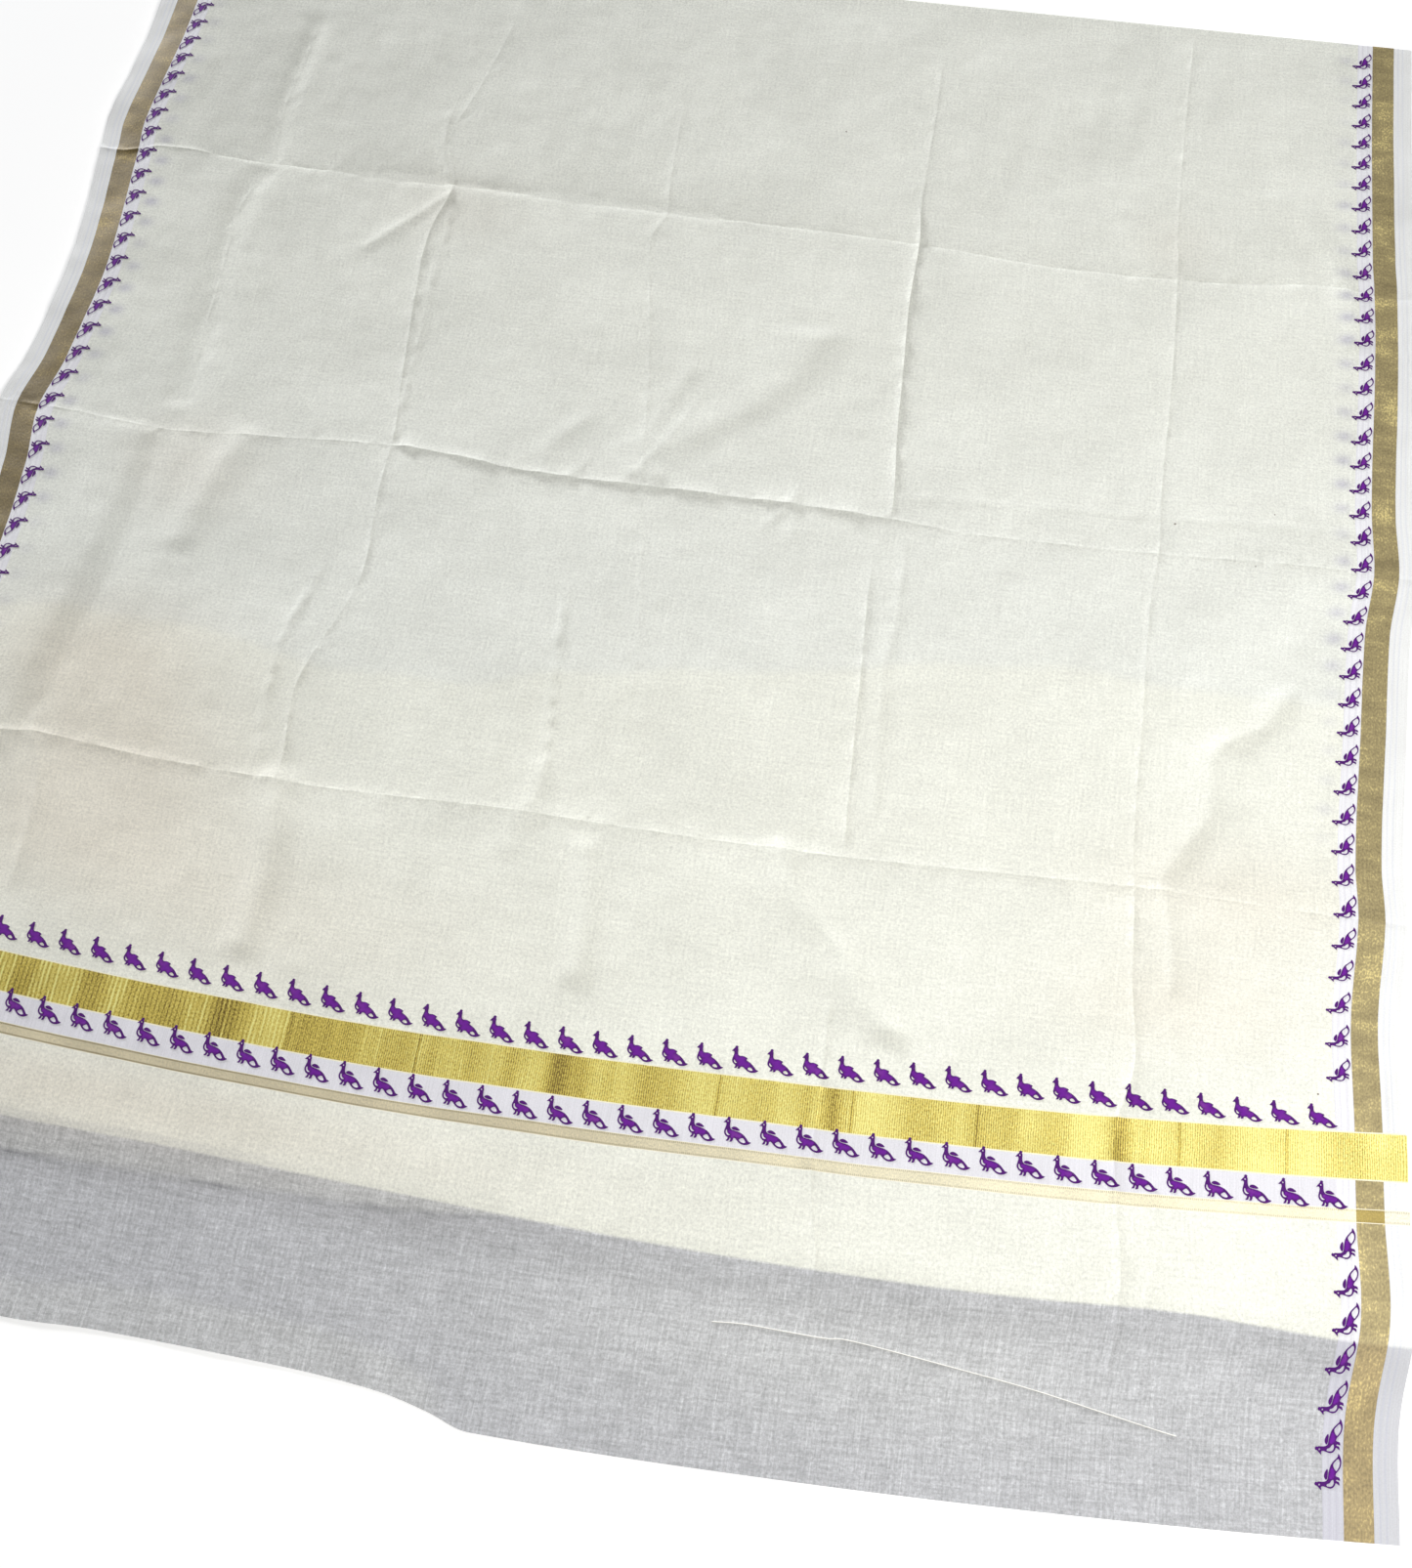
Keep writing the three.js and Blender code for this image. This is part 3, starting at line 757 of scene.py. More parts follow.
def makeCotton(name, look):
    material, tree, shader = startMaterial(name)
    place, across, along = clothPlace(tree)
    # The backing tone also carries a painted pool of light on the flap
    tone = mix(tree, toneOf(tree, "backingAndPaintedLight"), look["single"], look["backed"])
    tone = times(tree, tone, look["shade"], toneOf(tree, "shade"))
    tone = times(tree, tone, look["blush"], toneOf(tree, "blush"))
    tone = mix(tree, calc(tree, "MULTIPLY", toneOf(tree, "ghost"), 0.7), tone, look["ghost"])
    warp, weft = slubs(tree, place, 0.0)
    threads = calc(tree, "ADD", calc(tree, "MULTIPLY", warp, 0.6), calc(tree, "MULTIPLY", weft, 0.4))
    low, high = 1 - look["slubTone"], 1 + look["slubTone"] / 2
    tone = vary(tree, tone, threads, low, high)
    grain = noise(tree, place, look["grainScale"], 3.0, 0.8)
    low, high = 1 - look["grainTone"], 1 + look["grainTone"]
    tone = vary(tree, tone, grain, low, high)
    streaks = noise(tree, stretch(tree, place, (42, 400, 1)), 1.0, 3.0, 0.6, 0.5)
    low, high = 1 - look["streakTone"], 1 + look["streakTone"]
    tone = vary(tree, tone, streaks, low, high, 0.35, 0.65)
    streaks = noise(tree, stretch(tree, place, (500, 60, 1)), 1.0, 3.0, 0.6, 0.5)
    tone = vary(tree, tone, streaks, low, high, 0.35, 0.65)
    fineThreads = noise(tree, stretch(tree, place, (1100, 20, 1)), 1.0, 1.0)
    brighter = fit(tree, fineThreads, 0.60, 0.72, 1.0, 1 + look["threadTone"])
    tone = times(tree, tone, brighter)
    # Darker along an under-layer's edge, with painted shade beside some creases and at the far left
    # corner
    tone = times(tree, tone, calc(tree, "SUBTRACT", 1.0, toneOf(tree, "crease")))
    mottle = noise(tree, place, 14.0, 4.0, 0.55)
    low, high = 1 - look["mottleTone"], 1 + look["mottleTone"] / 2
    tone = vary(tree, tone, mottle, low, high)
    for x, y, size in look["specks"]:
        spotAcross, spotAlong = placeOnCloth(np.array([x]), np.array([y]))
        node = tree.nodes.new("ShaderNodeVectorMath")
        node.operation = "DISTANCE"
        feed(tree, node.inputs[0], place)
        node.inputs[1].default_value = (float(spotAcross[0]), float(spotAlong[0]), 0)
        tone = mix(tree, fit(tree, node.outputs["Value"], size, size * 0.6), tone, look["speck"])
    feed(tree, shader.inputs["Base Color"], tone)
    shader.inputs["Roughness"].default_value = look["roughness"]
    shader.inputs["Specular IOR Level"].default_value = 0.25
    shader.inputs["Sheen Weight"].default_value = 0.12
    shader.inputs["Sheen Roughness"].default_value = 0.5
    cockle = bump(tree, noise(tree, place, 150.0, 3.0, 0.6), 0.00022, 0.6)
    thick = bump(tree, calc(tree, "ADD", threads, grain), 0.00012, 0.7, cockle)
    feed(tree, shader.inputs["Normal"],
         bump(tree, weave(tree, across, along, look["threadPitch"]), 0.00006, 0.6, thick))
    return material


def inwardOf(tree, across):
    # How far in from the nearer selvedge a place lies
    return calc(tree, "MINIMUM", across, calc(tree, "SUBTRACT", width, across))


# The white selvedge and the white ground of the side prints, striped lengthwise
selvedgeLook = {
    "span": (0.0, cloth["goldStart"]),
    "ground": colour(240, 241, 241),
    "cord": colour(231, 233, 238),
    "cordShares": (0.50, 0.75, 1.0),  # of the strip's width, where its greyer cords run
    "cordReach": 0.08,
    "lineTone": 0.06,
}
printGroundLook = {
    "span": (cloth["stripStart"], cloth["fieldStart"]),
    "ground": colour(240, 240, 245),
    "cord": colour(231, 230, 237),
    "cordShares": (0.0, 0.33, 0.67, 1.0),
    "cordReach": 0.10,
    "lineTone": 0.07,
}


def makeStriped(name, look):
    material, tree, shader = startMaterial(name)
    place, across, along = clothPlace(tree)
    inward = inwardOf(tree, across)
    wander = calc(tree, "MULTIPLY", noise(tree, stretch(tree, place, (1, 40, 1)), 1.0), 0.0012)
    inward = calc(tree, "ADD", inward, calc(tree, "SUBTRACT", wander, 0.0006))
    share = fit(tree, inward, *look["span"])
    tone = look["ground"]
    for spot in look["cordShares"]:
        tone = mix(tree, nearTo(tree, share, spot, look["cordReach"]), tone, look["cord"])
    lines = noise(tree, stretch(tree, place, (1500, 9, 1)), 1.0, 2.0)
    low, high = 1 - look["lineTone"], 1 + look["lineTone"] / 3
    tone = vary(tree, tone, lines, low, high, 0.35, 0.65)
    grain = noise(tree, place, 850.0, 2.0, 0.7)
    tone = vary(tree, tone, grain, 0.94, 1.05)
    single = times(tree, tone, colour(216, 216, 222))
    tone = mix(tree, toneOf(tree, "backingAndPaintedLight"), single, tone)
    feed(tree, shader.inputs["Base Color"], tone)
    shader.inputs["Roughness"].default_value = 0.85
    shader.inputs["Specular IOR Level"].default_value = 0.3
    shader.inputs["Sheen Weight"].default_value = 0.12
    cords = bump(tree, lines, 0.00025, 0.8)
    feed(tree, shader.inputs["Normal"],
         bump(tree, weave(tree, across, along, 0.0005), 0.00006, 0.6, cords))
    return material


# The gold stripes down both sides: a painted highlight on one side of each crease and painted shade on
# the other, painted glints in patches, and the left stripe darker by painted shade
stripeLook = {
    "gold": colour(176, 161, 116),
    "dull": colour(140, 127, 92),
    "bright": colour(236, 218, 150),
    # painted shade over the whole left stripe
    "leftPaintedShade": colour(186, 178, 160),
    "metallic": 0.25,
    "roughness": 0.55,
    "rightPaintedLight": 0.50,  # painted light: how bright the gold is on each side, from 0 to 1
    "leftPaintedLight": 0.40,
    "creases": (0.416, 0.716, 1.004),
    # painted highlight just before each crease and painted shade just past it
    "creasePaintedLight": 0.35,
    "creaseReach": 0.010,
}


def makeZariStripe(name, look):
    material, tree, shader = startMaterial(name)
    place, across, along = clothPlace(tree)
    # Painted light: the left stripe duller, the right one brighter
    onRight = calc(tree, "GREATER_THAN", across, width / 2)
    shine = fit(tree, onRight, 0.0, 1.0, look["leftPaintedLight"], look["rightPaintedLight"])
    reach = look["creaseReach"]
    # Painted highlight before each crease and painted shade after it
    for crease in look["creases"]:
        paintedCreaseLight = nearTo(tree, along, crease - reach, reach, look["creasePaintedLight"])
        shine = calc(tree, "ADD", shine, paintedCreaseLight)
        paintedCreaseLight = nearTo(tree, along, crease + reach, reach, look["creasePaintedLight"])
        shine = calc(tree, "SUBTRACT", shine, paintedCreaseLight)
    grain = noise(tree, stretch(tree, place, (700, 480, 1)), 1.0, 2.0)
    broad = noise(tree, stretch(tree, place, (40, 90, 1)), 1.0, 3.0)
    # Painted glints in patches
    paintedLight = noise(tree, stretch(tree, place, (26, 15, 1)), 1.0, 2.0)
    amount = calc(tree, "ADD", shine, fit(tree, grain, 0.3, 0.7, -0.42, 0.42))
    amount = calc(tree, "ADD", amount, fit(tree, broad, 0.35, 0.65, -0.20, 0.20))
    amount = calc(tree, "ADD", amount, fit(tree, paintedLight, 0.50, 0.72, 0.0, 0.45))
    # Dull and bright are shaded and lit tones of the gold, picked by the painted light and the thread's
    # unevenness
    tone = mix(tree, fit(tree, amount, 0.0, 0.75), look["dull"], look["gold"])
    tone = mix(tree, fit(tree, amount, 0.75, 1.25), tone, look["bright"])
    lines = noise(tree, stretch(tree, place, (1500, 6, 1)), 1.0, 1.0)
    tone = vary(tree, tone, lines, 0.92, 1.06)
    # Painted shade over the left stripe
    tone = times(tree, tone, look["leftPaintedShade"], calc(tree, "SUBTRACT", 1.0, onRight))
    single = times(tree, tone, colour(228, 222, 216))
    tone = mix(tree, toneOf(tree, "backingAndPaintedLight"), single, tone)
    feed(tree, shader.inputs["Base Color"], tone)
    shader.inputs["Metallic"].default_value = look["metallic"]
    shader.inputs["Roughness"].default_value = look["roughness"]
    feed(tree, shader.inputs["Normal"], bump(tree, grain, 0.0003, 0.6))
    return material


# The wide gold band across the pallu: warp-wise ribs, painted shade where a soft fold runs out over it,
# painted light brighter to the right, and painted glints in streaks at the left
bandLook = {
    "bright": colour(254, 248, 160),
    "gold": colour(222, 200, 96),
    "dark": colour(108, 86, 34),
    "edge": colour(248, 243, 214),
    "edgeShare": 0.028,
    "coarsePitch": 0.0034,  # of the ribs at the left
    "finePitch": 0.0016,  # of the ribs from the middle on
    "fineFrom": (0.32, 0.44),
    "metallic": 0.35,
    "roughness": 0.42,
    "leftPaintedLight": 0.42,  # painted light: how bright the gold is at each side, from 0 to 1
    "rightPaintedLight": 0.84,
    # painted shade where these folds run out over the band
    "folds": ("a", "b", "c", "d", "e"),
    "foldReach": 0.012,
    "foldPaintedShade": 0.34,
    "patchShade": 0.16,
    "leftPaintedGlints": 1.0,  # how strongly the painted glints show in bright streaks
    "rightPaintedGlints": 0.12,
    "streakEnd": 0.56,
    "lines": (0.3747, 0.4680, 0.682, 0.775, 0.861, 0.998, 1.070),  # thin lines of painted shade in creases
    "lineWidth": 0.0012,
}


def makeZariBand(name, look):
    material, tree, shader = startMaterial(name)
    place, across, _ = clothPlace(tree)
    patches = noise(tree, stretch(tree, place, (34, 3, 1)), 1.0, 2.0)
    # Painted light, brighter to the right
    shade = fit(tree, across, 0.0, width, look["leftPaintedLight"], look["rightPaintedLight"])
    uneven = fit(tree, patches, 0.35, 0.65, -look["patchShade"], look["patchShade"])
    shade = calc(tree, "ADD", shade, uneven)
    # Painted shade where each fold runs out over the band
    for fold in look["folds"]:
        foldEnd = foldLines[fold][-1][0]
        dip = nearTo(tree, across, foldEnd, look["foldReach"], look["foldPaintedShade"])
        shade = calc(tree, "SUBTRACT", shade, dip)
    streaky = fit(tree, across, 0.0, look["streakEnd"], look["leftPaintedGlints"], look["rightPaintedGlints"])
    streaky = calc(tree, "MULTIPLY", streaky, fit(tree, patches, 0.44, 0.54))
    wander = fit(tree, noise(tree, place, 60.0, 2.0), 0.3, 0.7, -0.0004, 0.0004)
    spot = calc(tree, "ADD", across, wander)
    coarse = calc(tree, "SINE", calc(tree, "MULTIPLY", spot, 2 * math.pi / look["coarsePitch"]))
    fine = calc(tree, "SINE", calc(tree, "MULTIPLY", spot, 2 * math.pi / look["finePitch"]))
    broken = fit(tree, noise(tree, stretch(tree, place, (260, 22, 1)), 1.0, 2.0), 0.42, 0.6)
    # Painted glints along the coarse ribs, in streaks
    glint = calc(tree, "MULTIPLY", fit(tree, coarse, 0.2, 0.9), calc(tree, "MULTIPLY", streaky, broken))
    shade = calc(tree, "ADD", shade, calc(tree, "MULTIPLY", glint, 1.0))
    onLeft = fit(tree, across, *look["fineFrom"], 1.0, 0.0)
    shade = calc(tree, "SUBTRACT", shade, calc(tree, "MULTIPLY", fit(tree, coarse, -0.1, -0.8),
                                               calc(tree, "MULTIPLY", onLeft, 0.22)))
    ribs = calc(tree, "MULTIPLY", fit(tree, fine, 0.2, 0.9), calc(tree, "SUBTRACT", 1.0, onLeft))
    shade = calc(tree, "SUBTRACT", shade, calc(tree, "MULTIPLY", ribs, 0.38))
    # Thin lines of painted shade in creases
    for line in look["lines"]:
        shade = calc(tree, "SUBTRACT", shade, nearTo(tree, spot, line, look["lineWidth"] * 1.5, 0.32))
    dashes = noise(tree, stretch(tree, place, (900, 560, 1)), 1.0, 3.0, 0.7)
    shade = calc(tree, "ADD", shade, fit(tree, dashes, 0.3, 0.7, -0.32, 0.38))
    # Dark and bright are shaded and lit tones of the gold
    tone = mix(tree, fit(tree, shade, 0.0, 0.5), look["dark"], look["gold"])
    tone = mix(tree, fit(tree, shade, 0.5, 1.0), tone, look["bright"])
    out = calc(tree, "ABSOLUTE", calc(tree, "SUBTRACT", toneOf(tree, "rowShare"), 0.5))
    rim = calc(tree, "GREATER_THAN", out, 0.5 - look["edgeShare"])
    tone = mix(tree, rim, tone, look["edge"])
    feed(tree, shader.inputs["Base Color"], tone)
    feed(tree, shader.inputs["Metallic"],
         calc(tree, "MULTIPLY", calc(tree, "SUBTRACT", 1.0, rim), look["metallic"]))
    shader.inputs["Roughness"].default_value = look["roughness"]
    raised = calc(tree, "SUBTRACT", dashes, calc(tree, "MULTIPLY", ribs, 0.5))
    feed(tree, shader.inputs["Normal"], bump(tree, raised, 0.0004, 0.7))
    return material


# The narrow band: a beige fill between two lines of small gold dashes
narrowLook = {
    "fill": colour(224, 213, 182),
    "palerFill": colour(240, 233, 204),  # towards the right
    "dash": colour(122, 104, 58),
    "rim": colour(247, 243, 224),
    "stripeFill": colour(172, 152, 84),
    "paleFill": colour(238, 234, 214),
    "rimShare": 0.05,
    "dashShare": 0.15,
    "dashPitch": 0.0013,
}


def makeNarrowBand(name, look):
    material, tree, shader = startMaterial(name)
    place, across, _ = clothPlace(tree)
    inward = inwardOf(tree, across)
    onStripe = calc(tree, "MULTIPLY", calc(tree, "LESS_THAN", inward, cloth["stripStart"]),
                    calc(tree, "GREATER_THAN", inward, cloth["goldStart"]))
    onSelvedge = calc(tree, "LESS_THAN", inward, cloth["goldStart"])
    grain = noise(tree, stretch(tree, place, (900, 700, 1)), 1.0, 3.0, 0.75)
    patches = noise(tree, stretch(tree, place, (26, 3, 1)), 1.0, 3.0)
    fill = mix(tree, fit(tree, across, 0.55, 0.85), look["fill"], look["palerFill"])
    fill = mix(tree, onStripe, fill, look["stripeFill"])
    fill = mix(tree, onSelvedge, fill, look["paleFill"])
    fill = vary(tree, fill, grain, 0.74, 1.20)
    fill = vary(tree, fill, patches, 0.90, 1.04)
    out = calc(tree, "ABSOLUTE", calc(tree, "SUBTRACT", toneOf(tree, "rowShare"), 0.5))
    dashes = calc(tree, "SINE", calc(tree, "MULTIPLY", across, 2 * math.pi / look["dashPitch"]))
    inEdge = calc(tree, "GREATER_THAN", out, 0.5 - look["dashShare"] - look["rimShare"])
    dashed = calc(tree, "MULTIPLY", inEdge, fit(tree, dashes, -0.6, 0.6, 0.1, 0.9))
    dashed = calc(tree, "MULTIPLY", dashed, fit(tree, across, 0.30, 0.75, 1.0, 0.4))
    tone = mix(tree, dashed, fill, look["dash"])
    rim = calc(tree, "GREATER_THAN", out, 0.5 - look["rimShare"])
    tone = mix(tree, rim, tone, look["rim"])
    feed(tree, shader.inputs["Base Color"], tone)
    feed(tree, shader.inputs["Metallic"], calc(tree, "MULTIPLY", calc(tree, "SUBTRACT", 1.0, rim), 0.35))
    shader.inputs["Roughness"].default_value = 0.5
    feed(tree, shader.inputs["Normal"], bump(tree, grain, 0.0003, 0.6))
    return material


# The printed peacocks' ink: darker round its edges, lighter within, uneven along the rows
inkLook = {
    "edge": colour(76, 12, 108),
    "inside": colour(108, 20, 150),
    "worn": colour(126, 50, 154),
}


def makeInk(name, look):
    material, tree, shader = startMaterial(name)
    place, across, along = clothPlace(tree)
    patchy = noise(tree, place, 55.0, 2.0)
    fine = noise(tree, place, 900.0, 2.0)
    inside = mix(tree, fit(tree, patchy, 0.52, 0.70), look["inside"], look["worn"])
    amount = calc(tree, "ADD", toneOf(tree, "inkEdge"), fit(tree, fine, 0.3, 0.7, -0.25, 0.25))
    tone = mix(tree, fit(tree, amount, 0.2, 1.0), inside, look["edge"])
    feed(tree, shader.inputs["Base Color"], tone)
    shader.inputs["Roughness"].default_value = 0.8
    shader.inputs["Specular IOR Level"].default_value = 0.3
    feed(tree, shader.inputs["Normal"],
         bump(tree, weave(tree, across, along, 0.0005), 0.00006, 0.6))
    return material


# The folded layers that show at the pile's edges
pileLook = {
    "layers": 4,
    "height": 0.0032,
    "sideInset": 0.003,
    "nearInset": 0.002,
    "farInset": 0.0008,
    "cornerRadius": 0.014,
    "groove": 0.0012,
    "wander": 0.0012,
    "ringPoints": 520,
    "arcSteps": 4,
    "tone": colour(244, 243, 237),
}


def makePileCotton(name, look):
    material, tree, shader = startMaterial(name)
    node = tree.nodes.new("ShaderNodeTexCoord")
    place = node.outputs["Object"]
    threads = noise(tree, stretch(tree, place, (700, 700, 2500)), 1.0, 2.0)
    tone = vary(tree, look["tone"], threads, 0.90, 1.04)
    feed(tree, shader.inputs["Base Color"], tone)
    shader.inputs["Roughness"].default_value = 0.92
    shader.inputs["Sheen Weight"].default_value = 0.12
    feed(tree, shader.inputs["Normal"], bump(tree, threads, 0.0003, 0.7))
    return material


materials = {
    "cream_cotton": makeCotton("cream_cotton", cottonLook),
    "sheer_cotton": makeCotton("sheer_cotton", sheerLook),
    "white_selvedge": makeStriped("white_selvedge", selvedgeLook),
    "print_ground": makeStriped("print_ground", printGroundLook),
    "zari_stripe": makeZariStripe("zari_stripe", stripeLook),
    "zari_band": makeZariBand("zari_band", bandLook),
    "narrow_band": makeNarrowBand("narrow_band", narrowLook),
    "purple_ink": makeInk("purple_ink", inkLook),
    "hidden_cotton": makePileCotton("hidden_cotton", pileLook),
}
print("materials made")


def deselectAll():
    bpy.ops.object.select_all(action="DESELECT")


def addMesh(name, points, faces, materialName):
    mesh = bpy.data.meshes.new(name)
    mesh.from_pydata(points, [], faces)
    mesh.materials.append(materials[materialName])
    piece = bpy.data.objects.new(name, mesh)
    scene.collection.objects.link(piece)
    deselectAll()
    piece.select_set(True)
    bpy.context.view_layer.objects.active = piece
    return piece


def addClothUv(mesh, across, along):
    # The piece's UV map holds its own places across and along the cloth, in metres
    layer = mesh.uv_layers.new(name="cloth")
    corners = np.empty(len(mesh.loops), dtype=np.int32)
    mesh.loops.foreach_get("vertex_index", corners)
    values = np.column_stack([across[corners], along[corners]]).astype(np.float32)
    layer.data.foreach_set("uv", values.ravel())


def addTone(mesh, name, values):
    attribute = mesh.attributes.new(name, "FLOAT", "POINT")
    attribute.data.foreach_set("value", values.astype(np.float32))


def giveThickness(piece, thickness):
    solid = piece.modifiers.new("thickness", "SOLIDIFY")
    solid.thickness = thickness
    solid.offset = -1.0
    bpy.ops.object.modifier_apply(modifier=solid.name)
    bpy.ops.object.shade_smooth_by_angle(angle=math.radians(50))


def gridFaces(tall, wide):
    corner = (np.arange(tall - 1)[:, None] * wide + np.arange(wide - 1)[None, :]).ravel()
    return np.column_stack([corner, corner + 1, corner + 1 + wide, corner + wide])


flatSizes = {}  # each sheet's width and length before it was laid


def makeClothPiece(name, rowSpan, columnSpan, materialName, nodes, overhang=0.0):
    tall = slice(rowAt[rowSpan[0]], rowAt[rowSpan[1]] + 1)
    wide = slice(columnAt[columnSpan[0]], columnAt[columnSpan[1]] + 1)
    across = gridAcross[tall, wide]
    along = gridAlong[tall, wide]
    x = gridX[tall, wide].copy()
    x[:, -1] += overhang
    points = np.column_stack([x.ravel(), gridY[tall, wide].ravel(), gridZ[tall, wide].ravel()])
    faces = gridFaces(*across.shape)
    piece = addMesh(name, points.tolist(), faces.tolist(), materialName)
    addClothUv(piece.data, across.ravel(), along.ravel())
    for tone, values in gridTones.items():
        addTone(piece.data, tone, values[tall, wide].ravel())
    rowShare = (along - along[:1]) / (along[-1:] - along[:1])
    addTone(piece.data, "rowShare", rowShare.ravel())
    giveThickness(piece, cloth["thickness"])
    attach(piece, "root")
    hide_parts(*nodes)
    flatWidth = float(np.mean(across[:, -1] - across[:, 0]))
    flatLength = float(np.mean(along[-1] - along[0]))
    flatSizes[name] = (flatWidth, flatLength)


def foldedPile(look):
    # Rings round a soft-cornered outline, a rounded fold at the edge of each layer
    radius = look["cornerRadius"]
    length = cloth["farFold"] - float(pileEdge(np.array([0.0]))[0])
    wide = width - 2 * look["sideInset"]
    straight = [wide - 2 * radius, length - 2 * radius]
    sides = [straight[0], straight[1], straight[0], straight[1]]
    total = sum(sides) + 2 * math.pi * radius
    corners = [(radius, radius, -90), (wide - radius, radius, -90), (wide - radius, length - radius, 0),
               (radius, length - radius, 90)]
    places = np.arange(look["ringPoints"]) / look["ringPoints"] * total
    outline = []
    for place in places:
        for side in range(4):
            centre = corners[(side + 1) % 4]
            heading = side * 90
            if place <= sides[side]:
                start = corners[side]
                out = math.radians(heading - 90)
                ahead = math.radians(heading)
                outline.append((start[0] + radius * math.cos(out) + place * math.cos(ahead),
                                start[1] + radius * math.sin(out) + place * math.sin(ahead),
                                math.cos(out), math.sin(out)))
                break
            place -= sides[side]
            arc = radius * math.pi / 2
            if place <= arc:
                out = math.radians(heading - 90) + place / radius
                outline.append((centre[0] + radius * math.cos(out), centre[1] + radius * math.sin(out),
                                math.cos(out), math.sin(out)))
                break
            place -= arc
    outline = np.array(outline)
    layerHeight = look["height"] / look["layers"]
    rings = []
    for layer in range(look["layers"]):
        out = ripple(outline[:, 0], outline[:, 1], 20 + layer, 0.25) * look["wander"]
        for step in range(look["arcSteps"] + 1):
            turn = math.pi * step / look["arcSteps"] - math.pi / 2
            inset = look["groove"] * (1 - math.cos(turn)) - np.minimum(out, 0.002)
            height = layerHeight * (layer + 0.5 + 0.5 * math.sin(turn))
            if step == 0 and layer > 0:
                continue
            rings.append((inset, height))
    points = []
    for inset, height in rings:
        spotX = outline[:, 0] - outline[:, 2] * inset
        spotY = outline[:, 1] - outline[:, 3] * inset
        across = look["sideInset"] + spotX
        near = pileEdge(across) + look["nearInset"]
        along = near + spotY / length * (cloth["farFold"] - look["farInset"] - near)
        x, y = planPoint(across, along)
        for spot in zip(x - cloth["originAcross"], y - cloth["originAlong"]):
            points.append((spot[0], spot[1], height))
    count = look["ringPoints"]
    faces = []
    for ring in range(len(rings) - 1):
        for spot in range(count):
            a = ring * count + spot
            b = ring * count + (spot + 1) % count
            faces.append((a, b, b + count, a + count))
    faces.append(tuple(reversed(range(count))))
    faces.append(tuple(range((len(rings) - 1) * count, len(rings) * count)))
    piece = addMesh("folded_pile", points, faces, "hidden_cotton")
    bpy.ops.object.shade_smooth_by_angle(angle=math.radians(60))
    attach(piece, "root")
    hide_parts("folded_layers")
    return piece


foldedPile(pileLook)
print("folded pile made")

# The pieces of the cloth, each between two rows and two columns of the grid
fieldSides = ("left field", "right field")
clothPieces = (
    ("field_first", ("band top", "first"), fieldSides, "cream_cotton", ["field_stretch_1"]),
    ("field_second", ("first", "second"), fieldSides, "cream_cotton", ["field_stretch_2"]),
    ("field_third", ("second", "third"), fieldSides, "cream_cotton", ["field_stretch_3"]),
    ("field_fourth", ("third", "turned end"), fieldSides, "cream_cotton", ["field_stretch_4"]),
    ("pallu_ground", ("pile edge", "narrow bottom"), fieldSides, "cream_cotton", ["pallu_end"]),
    ("sheer_flap", ("cut end", "pile edge"), fieldSides, "sheer_cotton", ["end_flap"]),
    ("print_row_ground", ("narrow top", "band bottom"), ("left strip", "right strip"),
     "print_ground", ["pallu_print_band"]),
)
for name, rowSpan, columnSpan, materialName, nodes in clothPieces:
    makeClothPiece(name, rowSpan, columnSpan, materialName, nodes)
makeClothPiece("wide_gold_band", ("band bottom", "band top"), ("left edge", "right edge"),
               "zari_band", ["pallu_gold_band"], 0.0008)
makeClothPiece("narrow_gold_band", ("narrow bottom", "narrow top"), ("left edge", "right edge"),
               "narrow_band", ["pallu_narrow_band"], 0.0010)
print("field, pallu and bands made")

sideStrips = (
    ("selvedge", "edge", "gold", "white_selvedge"),
    ("gold_border", "gold", "strip", "zari_stripe"),
    ("print_strip", "strip", "field", "print_ground"),
)
sideStretches = (
    ("", ("band top", "turned end")),
    ("_middle", ("narrow top", "band bottom")),
    ("_end", ("cut end", "narrow bottom")),
)
for strip, outer, inner, materialName in sideStrips:
    for part, rowSpan in sideStretches:
        if strip == "print_strip" and part == "_middle":
            continue
        for side in ("left", "right"):
            columnSpan = (side + " " + outer, side + " " + inner)
            if side == "right":
                columnSpan = columnSpan[::-1]
            node = strip + part + "_" + side
            makeClothPiece(node + "_cloth", rowSpan, columnSpan, materialName, [node])
print("side strips made")


def makeTurnedEdge():
    # The strip that is turned under at the near left, just in from the flap's edge
    across, share = np.meshgrid(np.linspace(0.0006, 0.50, 170), np.linspace(0, 1, 9))
    start = cutEnd(across) + 0.0004
    depth = np.maximum(cutEnd(across) + 0.003, 0.004)
    along = start + share * depth
    x, y = planPoint(across, along)
    z = 0.00035 + 0.00005 * ripple(across, along, 12, 0.03)
    points = np.column_stack([(x - cloth["originAcross"]).ravel(),
                              (y - cloth["originAlong"]).ravel(), z.ravel()])
    piece = addMesh("turned_under_strip", points.tolist(), gridFaces(*across.shape).tolist(),
                    "sheer_cotton")
    addClothUv(piece.data, across.ravel(), along.ravel())
    addTone(piece.data, "backingAndPaintedLight", np.full(across.size, 0.4))
    giveThickness(piece, 0.0003)
    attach(piece, "root")
    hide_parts("turned_edge")


makeTurnedEdge()
print("turned edge made")

